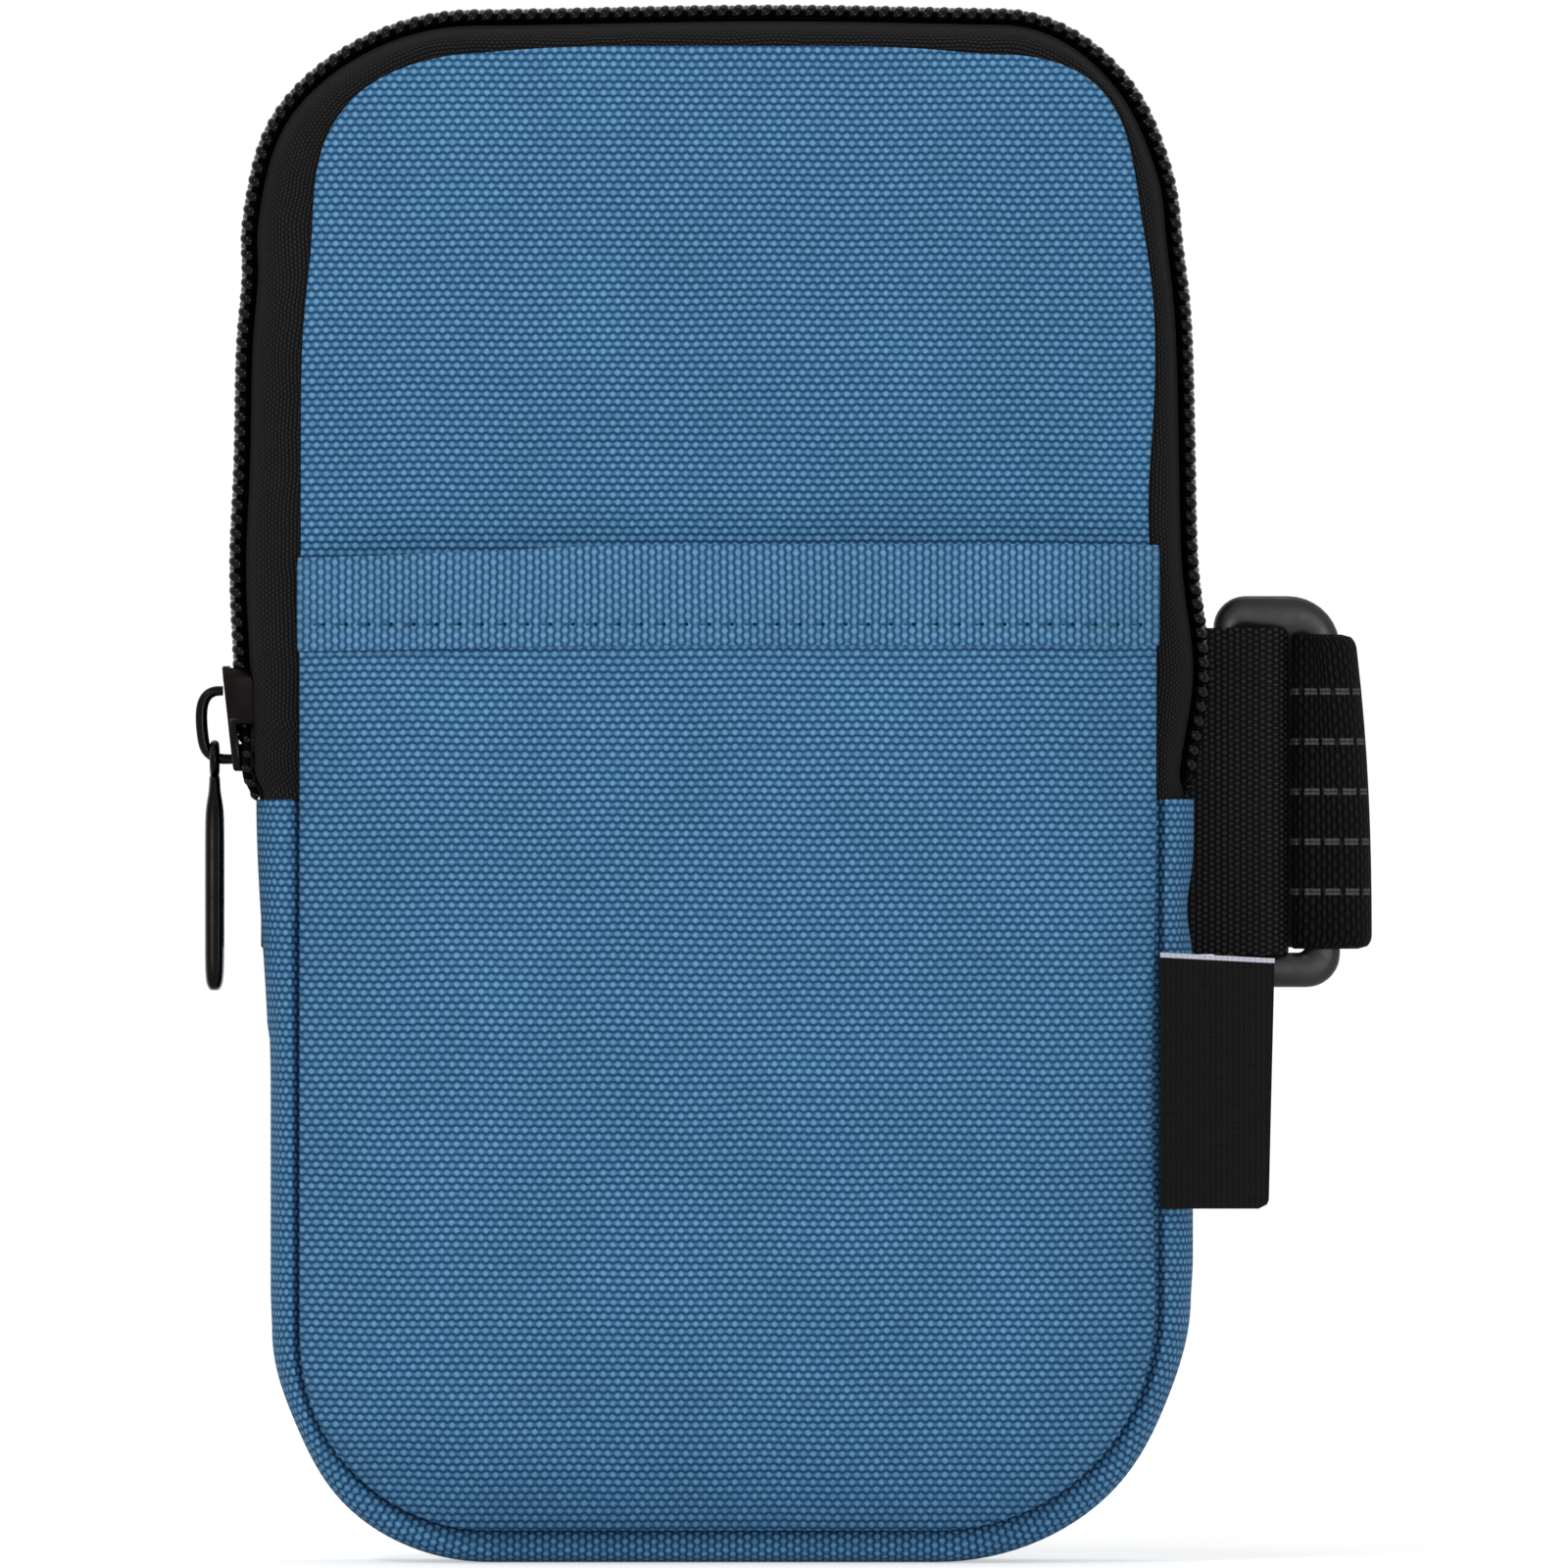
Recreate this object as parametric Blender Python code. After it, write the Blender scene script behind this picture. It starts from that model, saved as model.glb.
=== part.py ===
"""Zipped bottle pouch: a padded cloth case with a slip pocket, a coil zip and a strap for a bottle.

The pouch stands upright with its front towards -Y, +X to the right and +Z up.
The origin lies under the middle of the bottom strip, on the front panel's centre line.
"""

import math

import bmesh
import bpy
from mathutils import Vector

MM = 0.001

# Clearance between pieces that touch
GAP = 0.3 * MM
OVERRUN = 2.0 * MM

# Panels, seen from the front
PANEL_LEFT = 50.3 * MM
PANEL_RIGHT = 50.4 * MM
PANEL_HEIGHT = 174.9 * MM
TOP_LEFT_RADIUS = 20.0 * MM
TOP_RIGHT_RADIUS = 18.0 * MM
BOTTOM_LEFT_RADIUS = 21.0 * MM
BOTTOM_RIGHT_RADIUS = 25.5 * MM
LEAST_RADIUS = 0.6 * MM
CORNER_STEPS = 7

# Shoulders, where the outline draws in below the top corners
SHOULDER_LEFT = 1.4 * MM
SHOULDER_RIGHT = 2.2 * MM
SHOULDER_LEFT_HEIGHT = 158.5 * MM
SHOULDER_RIGHT_HEIGHT = 163.5 * MM
SHOULDER_SPREAD = 10.5 * MM
SHOULDER_STATIONS = (134.0 * MM, 142.0 * MM, 148.0 * MM, 153.5 * MM)

# Layers of a panel, from the seams outwards
SEAM_DEPTH = 9.0 * MM
CLOTH = 0.9 * MM
FOAM = 2.5 * MM
LINING = 0.4 * MM
FOAM_INSET = 4.0 * MM
CROWN_REACH = 20.0 * MM
CROWN_MIDWAY = 10.0 * MM

# Strip round the lower sides and the bottom
STRIP_CLOTH = 1.0 * MM
STRIP_BULGE_BOTTOM = 3.5 * MM
STRIP_BULGE_LEFT = 3.6 * MM
STRIP_BULGE_RIGHT = 4.4 * MM
STRIP_CORNER_PINCH = 0.8 * MM
STRIP_END_BULGE = 4.9 * MM
STRIP_END_TAPER = 34.0 * MM
STRIP_TAPER_SHARES = (0.0, 0.35, 1.0)
STRIP_TOP = 89.8 * MM
STRIP_DEPTH_SHARES = (1.0, 0.89, 0.67, 0.34)
STRIP_BULGE_SHARES = (0.0, 0.45, 0.82, 1.0)

# Binding over the inner seam edges
BINDING_THICKNESS = 0.9 * MM
BINDING_WIDTH = 3.4 * MM

# Zip: bulge of the chain past the panels, tapes and coil teeth
ZIP_BULGE_LEFT = 7.9 * MM
ZIP_BULGE_RIGHT = 4.3 * MM
ZIP_BULGE_TOP = 4.7 * MM
ZIP_END_BULGE = 5.3 * MM
ZIP_END_TAPER = 3.0 * MM
ZIP_SWELL = 1.8 * MM
ZIP_SWELL_HEIGHT = 104.5 * MM
ZIP_SWELL_SPREAD = 9.5 * MM
SWELL_STATIONS = (97.0 * MM, 100.5 * MM, 104.5 * MM, 108.5 * MM, 113.0 * MM, 119.0 * MM)
TAPE_THICKNESS = 0.6 * MM
TAPE_EDGE = 0.5 * MM
TAPE_FLAT = 4.7 * MM
TAPE_DEPTH_SHARES = (0.78, 0.93, 1.0)
TAPE_BULGE_SHARES = (0.80, 0.42, 0.0)
CHAIN_HEIGHT = 2.2 * MM
CHAIN_HALF_WIDTH = 3.0 * MM
HEEL_WIDTH = 1.5 * MM
TOOTH_PITCH = 1.73 * MM
TOOTH_REACH = 2.4 * MM
TOOTH_TIP_SHARE = 0.82
PATH_SAMPLES = 24
PARTING = 3.2 * MM
PARTING_LENGTH = 4.6 * MM

# Slider on the left run of the zip
SLIDER_BOTTOM = 93.1 * MM
SLIDER_LENGTH = 12.4 * MM
SLIDER_PLATE = 0.9 * MM
FLANGE = 1.0 * MM
NOSE_HALF_WIDTH = 5.1 * MM
SLIDER_CORNER = 1.2 * MM
SLIDER_EDGE_ROUND = 0.3 * MM
SHOULDER_SHARE = 0.50
THROAT_SHARE = 0.36
NOSE_SHARE = 0.08
DIAMOND_SHARE = 0.26
DIAMOND_HALF_WIDTH = 1.0 * MM
DIAMOND_WAIST = 0.6 * MM
DIAMOND_WAIST_SHARE = 0.17

# Bail and pull
BAIL_WIRE = 1.3 * MM
BAIL_BEND = 1.6 * MM
BAIL_LENGTH = 9.4 * MM
BAIL_RISE = 1.4 * MM
BAIL_BEND_STEPS = 4
PULL_LENGTH = 29.5 * MM
EYE_THICKNESS = 1.3 * MM
EYE_HOLE = 2.6 * MM
EYE_HOLE_SIDES = 20
EYE_RIM = 0.9 * MM
PULL_CLEARANCE = 0.45 * MM
TAB_THICKNESS = 2.4 * MM
TAB_HALF_WIDTH = 3.3 * MM
TAB_CHAMFER = 0.35 * MM
TAB_GROOVE = 0.3 * MM
PULL_PLAN_SHARES = (
    (0.0, 0.25, 0.0), (0.025, 0.55, 0.0), (0.07, 0.72, 0.0), (0.14, 0.74, 0.0),
    (0.19, 0.72, 0.0), (0.25, 0.82, 0.6), (0.32, 0.9, 1.0), (0.6, 1.0, 1.0),
    (0.93, 1.0, 1.0), (0.98, 0.75, 0.7), (1.0, 0.4, 0.2),
)

# Slip pocket on the front
POCKET_TOP = 118.2 * MM
POCKET_ROOM = 5.6 * MM
POCKET_REACH = 14.0 * MM
POCKET_CLOTH = 0.9 * MM
POCKET_LIFT_START = 80.0 * MM
MOUTH_BINDING = 0.5 * MM
MOUTH_BINDING_HEIGHT = 11.6 * MM
POCKET_ROW_SHARES = (0.0, 0.008, 0.03, 0.065, 0.11, 0.175, 0.26, 0.5, 0.7, 0.87, 1.0)
POCKET_INSETS = (0.0 * MM, 3.0 * MM, 7.0 * MM, 14.0 * MM, 24.0 * MM)

# Strap: webbing, slide buckle and elastic
STRAP_MIDDLE = 90.7 * MM
SEAM_SIDE = 0.4 * MM
WEBBING_WIDTH = 38.0 * MM
WEBBING_THICKNESS = 1.2 * MM
WEBBING_SLACK = 0.7 * MM
WEBBING_SEWN = 3.4 * MM
WEBBING_SLOPE = 3.2 * MM
BUCKLE_LEFT = 57.4 * MM
BUCKLE_WIDTH = 15.0 * MM
BUCKLE_LENGTH = 46.3 * MM
BUCKLE_THICKNESS = 2.6 * MM
BUCKLE_CORNER = 4.0 * MM
BUCKLE_ROUND = 1.1 * MM
SLOT_LENGTH = 38.8 * MM
SLOT_CORNER = 0.9 * MM
OUTER_BAR = 2.6 * MM
LEFT_SLOT = 1.9 * MM
CENTRE_BAR = 2.4 * MM
RIGHT_SLOT = 4.0 * MM
ELASTIC_WIDTH = 37.2 * MM
ELASTIC_THICKNESS = 1.4 * MM
ELASTIC_TURN = 4.0 * MM
PATCH_THICKNESS = 0.9 * MM
LOOP_LEFT_TURN = 3.2 * MM
LOOP_RISE = 1.8 * MM
LOOP_STEPS = 32
TAIL_TURN_DEGREES = 44.0
PATCH_TURN_DEGREES = (8.0, 36.0)

# Woven label in the right front seam
LABEL_WIDTH = 13.9 * MM
LABEL_HEIGHT = 30.1 * MM
LABEL_TOP = 71.8 * MM
LABEL_THICKNESS = 0.7 * MM
LABEL_CORNER = 1.2 * MM
LABEL_CORNER_STEPS = 4

# Places that follow from the sizes above
PANEL_BOTTOM = STRIP_BULGE_BOTTOM
PANEL_TOP = PANEL_BOTTOM + PANEL_HEIGHT
PANEL_INNER = SEAM_DEPTH + GAP / 2
PANEL_FACE = PANEL_INNER + CLOTH
STRIP_EDGE = SEAM_DEPTH - GAP / 2
CROWN = FOAM + GAP
ZIP_BOTTOM = STRIP_TOP + GAP
TAPE_DROP = CHAIN_HEIGHT + GAP
SLIDER_TOP = SLIDER_BOTTOM + SLIDER_LENGTH
TAIL_HALF_WIDTH = CHAIN_HALF_WIDTH + GAP + FLANGE
CHAIN_FACE = -PANEL_LEFT - ZIP_BULGE_LEFT
CHANNEL_OUT = CHAIN_FACE - GAP
CHANNEL_IN = CHAIN_FACE + TAPE_DROP + TAPE_THICKNESS + GAP
PLATE_FACE = CHANNEL_OUT - SLIDER_PLATE
PULL_X = PLATE_FACE - PULL_CLEARANCE - EYE_THICKNESS / 2
LOWER_LEG_Z = SLIDER_BOTTOM + BAIL_RISE
UPPER_LEG_Z = LOWER_LEG_Z + BAIL_LENGTH - BAIL_WIRE
BUCKLE_Y = PANEL_INNER + WEBBING_THICKNESS + WEBBING_SLACK + BUCKLE_THICKNESS / 2
CENTRE_BAR_X = BUCKLE_LEFT + OUTER_BAR + LEFT_SLOT + CENTRE_BAR / 2
RIGHT_BAR_X = BUCKLE_LEFT + OUTER_BAR + LEFT_SLOT + CENTRE_BAR + RIGHT_SLOT
WEBBING_LAYER = BUCKLE_THICKNESS / 2 + WEBBING_SLACK + WEBBING_THICKNESS / 2
ELASTIC_LAYER = BUCKLE_THICKNESS / 2 + GAP + ELASTIC_THICKNESS / 2
WRAP_X = RIGHT_BAR_X + BUCKLE_THICKNESS / 2
LOOP_SPAN_RIGHT = WRAP_X + LOOP_RISE
TAIL_OFFSET = ELASTIC_THICKNESS + 2 * PATCH_THICKNESS + 3 * GAP

CORNERS = {
    "bottom_left": (-PANEL_LEFT, PANEL_BOTTOM, BOTTOM_LEFT_RADIUS, 180),
    "bottom_right": (PANEL_RIGHT, PANEL_BOTTOM, BOTTOM_RIGHT_RADIUS, 270),
    "top_right": (PANEL_RIGHT, PANEL_TOP, TOP_RIGHT_RADIUS, 0),
    "top_left": (-PANEL_LEFT, PANEL_TOP, TOP_LEFT_RADIUS, 90),
}

FINISHES = {
    "blue_polyester": ((66, 111, 147), 0.85, 0.0),
    "blue_binding": ((70, 115, 151), 0.8, 0.0),
    "grey_foam": ((180, 182, 185), 0.95, 0.0),
    "dark_lining": ((40, 52, 66), 0.8, 0.0),
    "black_tape": ((26, 26, 29), 0.8, 0.0),
    "black_coil": ((18, 18, 20), 0.25, 0.0),
    "gunmetal": ((92, 86, 82), 0.3, 1.0),
    "black_webbing": ((28, 28, 31), 0.75, 0.0),
    "black_elastic": ((32, 33, 37), 0.8, 0.0),
    "black_plastic": ((24, 24, 27), 0.4, 0.0),
    "woven_label": ((22, 22, 26), 0.7, 0.0),
}


# Small helpers for shapes

def linear(level):
    """Scene colour of an 8-bit screen level."""
    share = level / 255
    if share <= 0.04045:
        return share / 12.92
    return ((share + 0.055) / 1.055) ** 2.4


def dress(piece, finish):
    """Give a piece its own material."""
    colour, roughness, metallic = FINISHES[finish]
    material = bpy.data.materials.new(piece.name)
    material.use_nodes = True
    shader = material.node_tree.nodes["Principled BSDF"]
    shader.inputs["Base Color"].default_value = (*[linear(level) for level in colour], 1.0)
    shader.inputs["Roughness"].default_value = roughness
    shader.inputs["Metallic"].default_value = metallic
    piece.data.materials.append(material)


def make_object(name, mesh, finish, origin=(0.0, 0.0, 0.0), sharp_degrees=35.0):
    """Turn a bmesh into a named piece whose origin lies at the given place."""
    bmesh.ops.recalc_face_normals(mesh, faces=mesh.faces)
    place = Vector(origin)
    bmesh.ops.translate(mesh, verts=mesh.verts, vec=-place)
    data = bpy.data.meshes.new(name)
    mesh.to_mesh(data)
    mesh.free()
    data.shade_smooth()
    data.set_sharp_from_angle(angle=math.radians(sharp_degrees))
    piece = bpy.data.objects.new(name, data)
    piece.location = place
    bpy.context.scene.collection.objects.link(piece)
    if finish:
        dress(piece, finish)
    return piece


def loft_mesh(rings):
    """Extrude a face from ring to ring; return the bmesh and its rings of vertices."""
    mesh = bmesh.new()
    face = mesh.faces.new([mesh.verts.new(point) for point in rings[0]])
    grown = [list(face.verts)]
    for index, ring in enumerate(rings[1:]):
        last = face
        made = bmesh.ops.extrude_face_region(mesh, geom=[last])["geom"]
        face = next(item for item in made if isinstance(item, bmesh.types.BMFace))
        if index:
            bmesh.ops.delete(mesh, geom=[last], context="FACES_ONLY")
        for vert, point in zip(face.verts, ring):
            vert.co = point
        grown.append(list(face.verts))
    return mesh, grown


def loft(name, rings, finish, **options):
    """Closed piece through rings of equal point counts."""
    return make_object(name, loft_mesh(rings)[0], finish, **options)


def flat_ring(name, points, width, thickness, finish):
    """Flat ring inside an outline, thickened along a vector."""
    mesh = bmesh.new()
    inner = mesh.faces.new([mesh.verts.new(point) for point in points])
    inner.normal_update()
    bmesh.ops.inset_individual(mesh, faces=[inner], thickness=width, use_even_offset=True)
    bmesh.ops.delete(mesh, geom=[inner], context="FACES_ONLY")
    made = bmesh.ops.extrude_face_region(mesh, geom=mesh.faces[:])["geom"]
    grown = [item for item in made if isinstance(item, bmesh.types.BMVert)]
    bmesh.ops.translate(mesh, verts=grown, vec=thickness)
    return make_object(name, mesh, finish)


def cutter(name, mesh):
    """Hidden shape that a Boolean removes."""
    tool = make_object(name, mesh, None)
    tool.hide_render = True
    tool.display_type = "WIRE"
    return tool


def subtract(piece, tool):
    """Cut a tool's shape out of a piece."""
    cut = piece.modifiers.new(tool.name, "BOOLEAN")
    cut.operation = "DIFFERENCE"
    cut.solver = "EXACT"
    cut.object = tool


def round_edges(piece, width, segments, degrees):
    """Bevel the edges that are sharper than an angle."""
    bevel = piece.modifiers.new("rounding", "BEVEL")
    bevel.width = width
    bevel.segments = segments
    bevel.limit_method = "ANGLE"
    bevel.use_clamp_overlap = False
    bevel.angle_limit = math.radians(degrees)


def arc(centre_x, centre_y, radius, start, stop, steps):
    """Points along an arc, with its angles in degrees."""
    points = []
    for step in range(steps + 1):
        turn = math.radians(start + (stop - start) * step / steps)
        points.append((centre_x + radius * math.cos(turn), centre_y + radius * math.sin(turn)))
    return points


def moved_line(line, distance):
    """Copy of an open line at an even distance on its left, with mitred corners."""
    moved = []
    for index, point in enumerate(line):
        normals = []
        for first, second in ((index - 1, index), (index, index + 1)):
            if first >= 0 and second < len(line):
                run = Vector(line[second]) - Vector(line[first])
                normals.append(Vector((-run.y, run.x)).normalized())
        middle = sum(normals, Vector((0.0, 0.0))).normalized()
        reach = distance / middle.dot(normals[0])
        moved.append((point[0] + middle.x * reach, point[1] + middle.y * reach))
    return moved


def thickened(line, thickness):
    """Closed section between an open line and its copy on the left."""
    return list(line) + moved_line(line, thickness)[::-1]


def eased(share):
    """Smooth step from 0 to 1."""
    held = min(max(share, 0.0), 1.0)
    return held * held * (3 - 2 * held)


# Outline of the panels

def corner_arc(key, inset):
    """Arc of one panel corner, inside the edge by the inset."""
    x, z, radius, start = CORNERS[key]
    bend = max(radius - inset, LEAST_RADIUS)
    away = bend + inset
    centre_x = x + away if x < 0 else x - away
    centre_z = z + away if z == PANEL_BOTTOM else z - away
    return arc(centre_x, centre_z, bend, start, start + 90, CORNER_STEPS)


def shouldered(x, z):
    """Place across, drawn in at the shoulders."""
    left = x < 0
    half = PANEL_LEFT if left else PANEL_RIGHT
    height = SHOULDER_LEFT_HEIGHT if left else SHOULDER_RIGHT_HEIGHT
    full = SHOULDER_LEFT if left else SHOULDER_RIGHT
    drawn = full * math.exp(-((z - height) / SHOULDER_SPREAD) ** 2)
    return x * (1 - drawn / half)


def panel_outline(inset):
    """Points round a panel, inside its edge by the inset."""
    points = corner_arc("bottom_left", inset) + corner_arc("bottom_right", inset)
    points += [(PANEL_RIGHT - inset, z) for z in SHOULDER_STATIONS]
    points += corner_arc("top_right", inset) + corner_arc("top_left", inset)
    points += [(inset - PANEL_LEFT, z) for z in reversed(SHOULDER_STATIONS)]
    return [(shouldered(x, z), z) for x, z in points]


def rim_distance(x, z):
    """How far a point of a panel lies inside its edge."""
    for cx, cz, radius, _ in CORNERS.values():
        inner_x = cx + radius if cx < 0 else cx - radius
        inner_z = cz + radius if cz == PANEL_BOTTOM else cz - radius
        beyond_x = (inner_x - x) if cx < 0 else (x - inner_x)
        beyond_z = (inner_z - z) if cz == PANEL_BOTTOM else (z - inner_z)
        if beyond_x > 0 and beyond_z > 0:
            return radius - math.hypot(beyond_x, beyond_z)
    return min(x + PANEL_LEFT, PANEL_RIGHT - x, z - PANEL_BOTTOM, PANEL_TOP - z)


def crown(inset, reach):
    """Share of the full crown at a distance inside the edge."""
    return 1 - (1 - min(max(inset, 0.0), reach) / reach) ** 2


def crowned(inset):
    """Height of a panel's crown at a distance inside the edge."""
    return CROWN * crown(inset, CROWN_REACH)


# Panels, foam, linings and inner bindings

def panel_rings(side, layers):
    """Rings of a panel layer from (inset, depth) pairs on the front or back side."""
    rings = []
    for inset, depth in layers:
        rings.append([Vector((x, side * depth, z)) for x, z in panel_outline(inset)])
    return rings


def build_panel(prefix, side):
    """Outer cloth, foam and lining of the front or back."""
    insets = (CROWN_REACH, CROWN_MIDWAY, FOAM_INSET, 0.0)
    outer = [(inset, PANEL_FACE + crowned(inset)) for inset in insets]
    inner = [(inset, PANEL_INNER + crowned(inset)) for inset in reversed(insets)]
    loft(prefix + "_panel", panel_rings(side, outer + inner), "blue_polyester")

    foam = [(inset, PANEL_INNER + crowned(inset) - GAP) for inset in insets[:-1]]
    foam.append((FOAM_INSET, STRIP_EDGE + GAP))
    loft(prefix + "_foam", panel_rings(side, foam), "grey_foam")

    lining_inset = STRIP_CLOTH + GAP
    lining = [(lining_inset, STRIP_EDGE), (lining_inset, STRIP_EDGE - LINING)]
    loft(prefix + "_lining", panel_rings(side, lining), "dark_lining")

    near = STRIP_EDGE - LINING - GAP
    outline = panel_rings(side, [(lining_inset + GAP, near)])[0]
    thickness = Vector((0.0, -side * BINDING_THICKNESS, 0.0))
    flat_ring("seam_binding_" + prefix, outline, BINDING_WIDTH, thickness, "dark_lining")


# Strip round the bottom

def side_value(normal_x, normal_z, left, right, end):
    """Value that passes smoothly from a side to the end round a corner."""
    side = left if normal_x < 0 else right
    return side * normal_x ** 2 + end * normal_z ** 2


def strip_stations():
    """Places along the strip: x, z, outward normal and bulge."""
    stations = []
    for share in STRIP_TAPER_SHARES:
        z = STRIP_TOP - STRIP_END_TAPER * share
        bulge = STRIP_END_BULGE + (STRIP_BULGE_LEFT - STRIP_END_BULGE) * eased(share)
        stations.append((-PANEL_LEFT, z, -1.0, 0.0, bulge))
    for key in ("bottom_left", "bottom_right"):
        start = CORNERS[key][3]
        for step, (x, z) in enumerate(corner_arc(key, 0.0)):
            turn = math.radians(start + 90 * step / CORNER_STEPS)
            normal = (math.cos(turn), math.sin(turn))
            bulge = side_value(*normal, STRIP_BULGE_LEFT, STRIP_BULGE_RIGHT, STRIP_BULGE_BOTTOM)
            bulge -= STRIP_CORNER_PINCH * math.sin(2 * turn) ** 2
            stations.append((x, z, *normal, bulge))
    for share in reversed(STRIP_TAPER_SHARES):
        z = STRIP_TOP - STRIP_END_TAPER * share
        bulge = STRIP_END_BULGE + (STRIP_BULGE_RIGHT - STRIP_END_BULGE) * eased(share)
        stations.append((PANEL_RIGHT, z, 1.0, 0.0, bulge))
    return stations


def swept(station, section):
    """Section of (depth, rise) points placed at a station along the rim."""
    x, z, normal_x, normal_z = station[:4]
    points = []
    for depth, rise in section:
        height = z + normal_z * rise
        points.append(Vector((shouldered(x + normal_x * rise, height), depth, height)))
    return points


def strip_line(bulge, start=0):
    """Outer line across the strip, from the front seam to the back seam."""
    pairs = list(zip(STRIP_DEPTH_SHARES, STRIP_BULGE_SHARES))[start:]
    half = [(-STRIP_EDGE * depth, bulge * rise) for depth, rise in pairs]
    return half + [(-depth, rise) for depth, rise in reversed(half)]


def build_strip():
    """Blue strip and its lining."""
    stations = strip_stations()
    outer = [swept(place, thickened(strip_line(place[4])[::-1], STRIP_CLOTH)) for place in stations]
    loft("bottom_gusset", outer, "blue_polyester")
    inner = []
    for place in stations:
        line = moved_line(strip_line(place[4], 1)[::-1], STRIP_CLOTH + GAP)[1:-1]
        inner.append(swept(place, thickened(line, LINING)))
    loft("gusset_lining", inner, "dark_lining")


# Zip

def slider_height(share):
    """Height at a share of the slider's length above its nose."""
    return SLIDER_BOTTOM + SLIDER_LENGTH * share


def zip_place(key, share):
    """Place at a share of one stretch of the zip: x, z and outward normal."""
    left_end = PANEL_TOP - TOP_LEFT_RADIUS
    right_end = PANEL_TOP - TOP_RIGHT_RADIUS
    if key == "left":
        return (-PANEL_LEFT, ZIP_BOTTOM + (left_end - ZIP_BOTTOM) * share, -1.0, 0.0)
    if key == "right":
        return (PANEL_RIGHT, right_end + (ZIP_BOTTOM - right_end) * share, 1.0, 0.0)
    if key == "top":
        start = -PANEL_LEFT + TOP_LEFT_RADIUS
        stop = PANEL_RIGHT - TOP_RIGHT_RADIUS
        return (start + (stop - start) * share, PANEL_TOP, 0.0, 1.0)
    side = -1 if key == "left_corner" else 1
    radius = TOP_LEFT_RADIUS if side < 0 else TOP_RIGHT_RADIUS
    turn = math.radians(180 - 90 * share if side < 0 else 90 - 90 * share)
    normal = (math.cos(turn), math.sin(turn))
    centre_x = -PANEL_LEFT + radius if side < 0 else PANEL_RIGHT - radius
    centre_z = PANEL_TOP - radius
    return (centre_x + radius * normal[0], centre_z + radius * normal[1], *normal)


def zip_bulge(place):
    """How far the chain's outer face stands past the panels' edge."""
    full = side_value(place[2], place[3], ZIP_BULGE_LEFT, ZIP_BULGE_RIGHT, ZIP_BULGE_TOP)
    if place[3]:
        return full
    if place[2] > 0:
        full += ZIP_SWELL * math.exp(-((place[1] - ZIP_SWELL_HEIGHT) / ZIP_SWELL_SPREAD) ** 2)
    return ZIP_END_BULGE + (full - ZIP_END_BULGE) * eased((place[1] - ZIP_BOTTOM) / ZIP_END_TAPER)


def parting(place):
    """How far each half of the zip has moved off the centre line below the slider's tail."""
    if place[2] != -1.0:
        return 0.0
    return PARTING * eased((slider_height(SHOULDER_SHARE) - place[1]) / PARTING_LENGTH)


STRETCHES = ("left", "left_corner", "top", "right_corner", "right")


def tape_places():
    """Places where the tapes' sections stand."""
    places = []
    run = PANEL_TOP - TOP_LEFT_RADIUS - ZIP_BOTTOM
    for height in (0.0, ZIP_END_TAPER / 2, ZIP_END_TAPER):
        places.append(zip_place("left", height / run))
    for step in range(1, 4):
        height = slider_height(SHOULDER_SHARE) - PARTING_LENGTH * (1 - step / 3) - ZIP_BOTTOM
        places.append(zip_place("left", height / run))
    places += [zip_place("left", (z - ZIP_BOTTOM) / run) for z in SHOULDER_STATIONS]
    for key in ("left_corner", "right_corner"):
        places += [zip_place(key, step / CORNER_STEPS) for step in range(CORNER_STEPS + 1)]
    run = PANEL_TOP - TOP_RIGHT_RADIUS - ZIP_BOTTOM
    heights = [z - ZIP_BOTTOM for z in reversed(SWELL_STATIONS + SHOULDER_STATIONS)]
    for height in heights + [ZIP_END_TAPER, ZIP_END_TAPER / 2, 0.0]:
        places.append(zip_place("right", 1 - height / run))
    return places


def build_tape(prefix, side):
    """One tape, flat under the chain and curving down to its seam."""
    rings = []
    for place in tape_places():
        top = zip_bulge(place) - TAPE_DROP
        shift = parting(place)
        line = [(TAPE_EDGE + shift, top), (TAPE_FLAT + shift / 3, top)]
        for depth, rise in zip(TAPE_DEPTH_SHARES, TAPE_BULGE_SHARES):
            line.append((STRIP_EDGE * depth, top * rise))
        section = thickened(line, -TAPE_THICKNESS)
        rings.append(swept(place, [(side * depth, rise) for depth, rise in section]))
    loft("zip_tape_" + prefix, rings, "black_tape")


def chain_line():
    """Finely spaced places along the zip with the chain's length up to each."""
    places = []
    for key in STRETCHES:
        places += [zip_place(key, step / PATH_SAMPLES) for step in range(PATH_SAMPLES)]
    places.append(zip_place("right", 1.0))
    lengths = [0.0]
    middles = []
    for place in places:
        rise = zip_bulge(place) - CHAIN_HEIGHT / 2
        middles.append(Vector((place[0] + place[2] * rise, place[1] + place[3] * rise)))
    for before, after in zip(middles, middles[1:]):
        lengths.append(lengths[-1] + (after - before).length)
    return places, lengths


def place_at(line, length):
    """Place at a length along the chain."""
    places, lengths = line
    index = 1
    while index < len(lengths) - 1 and lengths[index] < length:
        index += 1
    share = (length - lengths[index - 1]) / (lengths[index] - lengths[index - 1])
    before, after = places[index - 1], places[index]
    x, z, normal_x, normal_z = (a + (b - a) * share for a, b in zip(before, after))
    scale = math.hypot(normal_x, normal_z)
    return (x, z, normal_x / scale, normal_z / scale)


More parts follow.
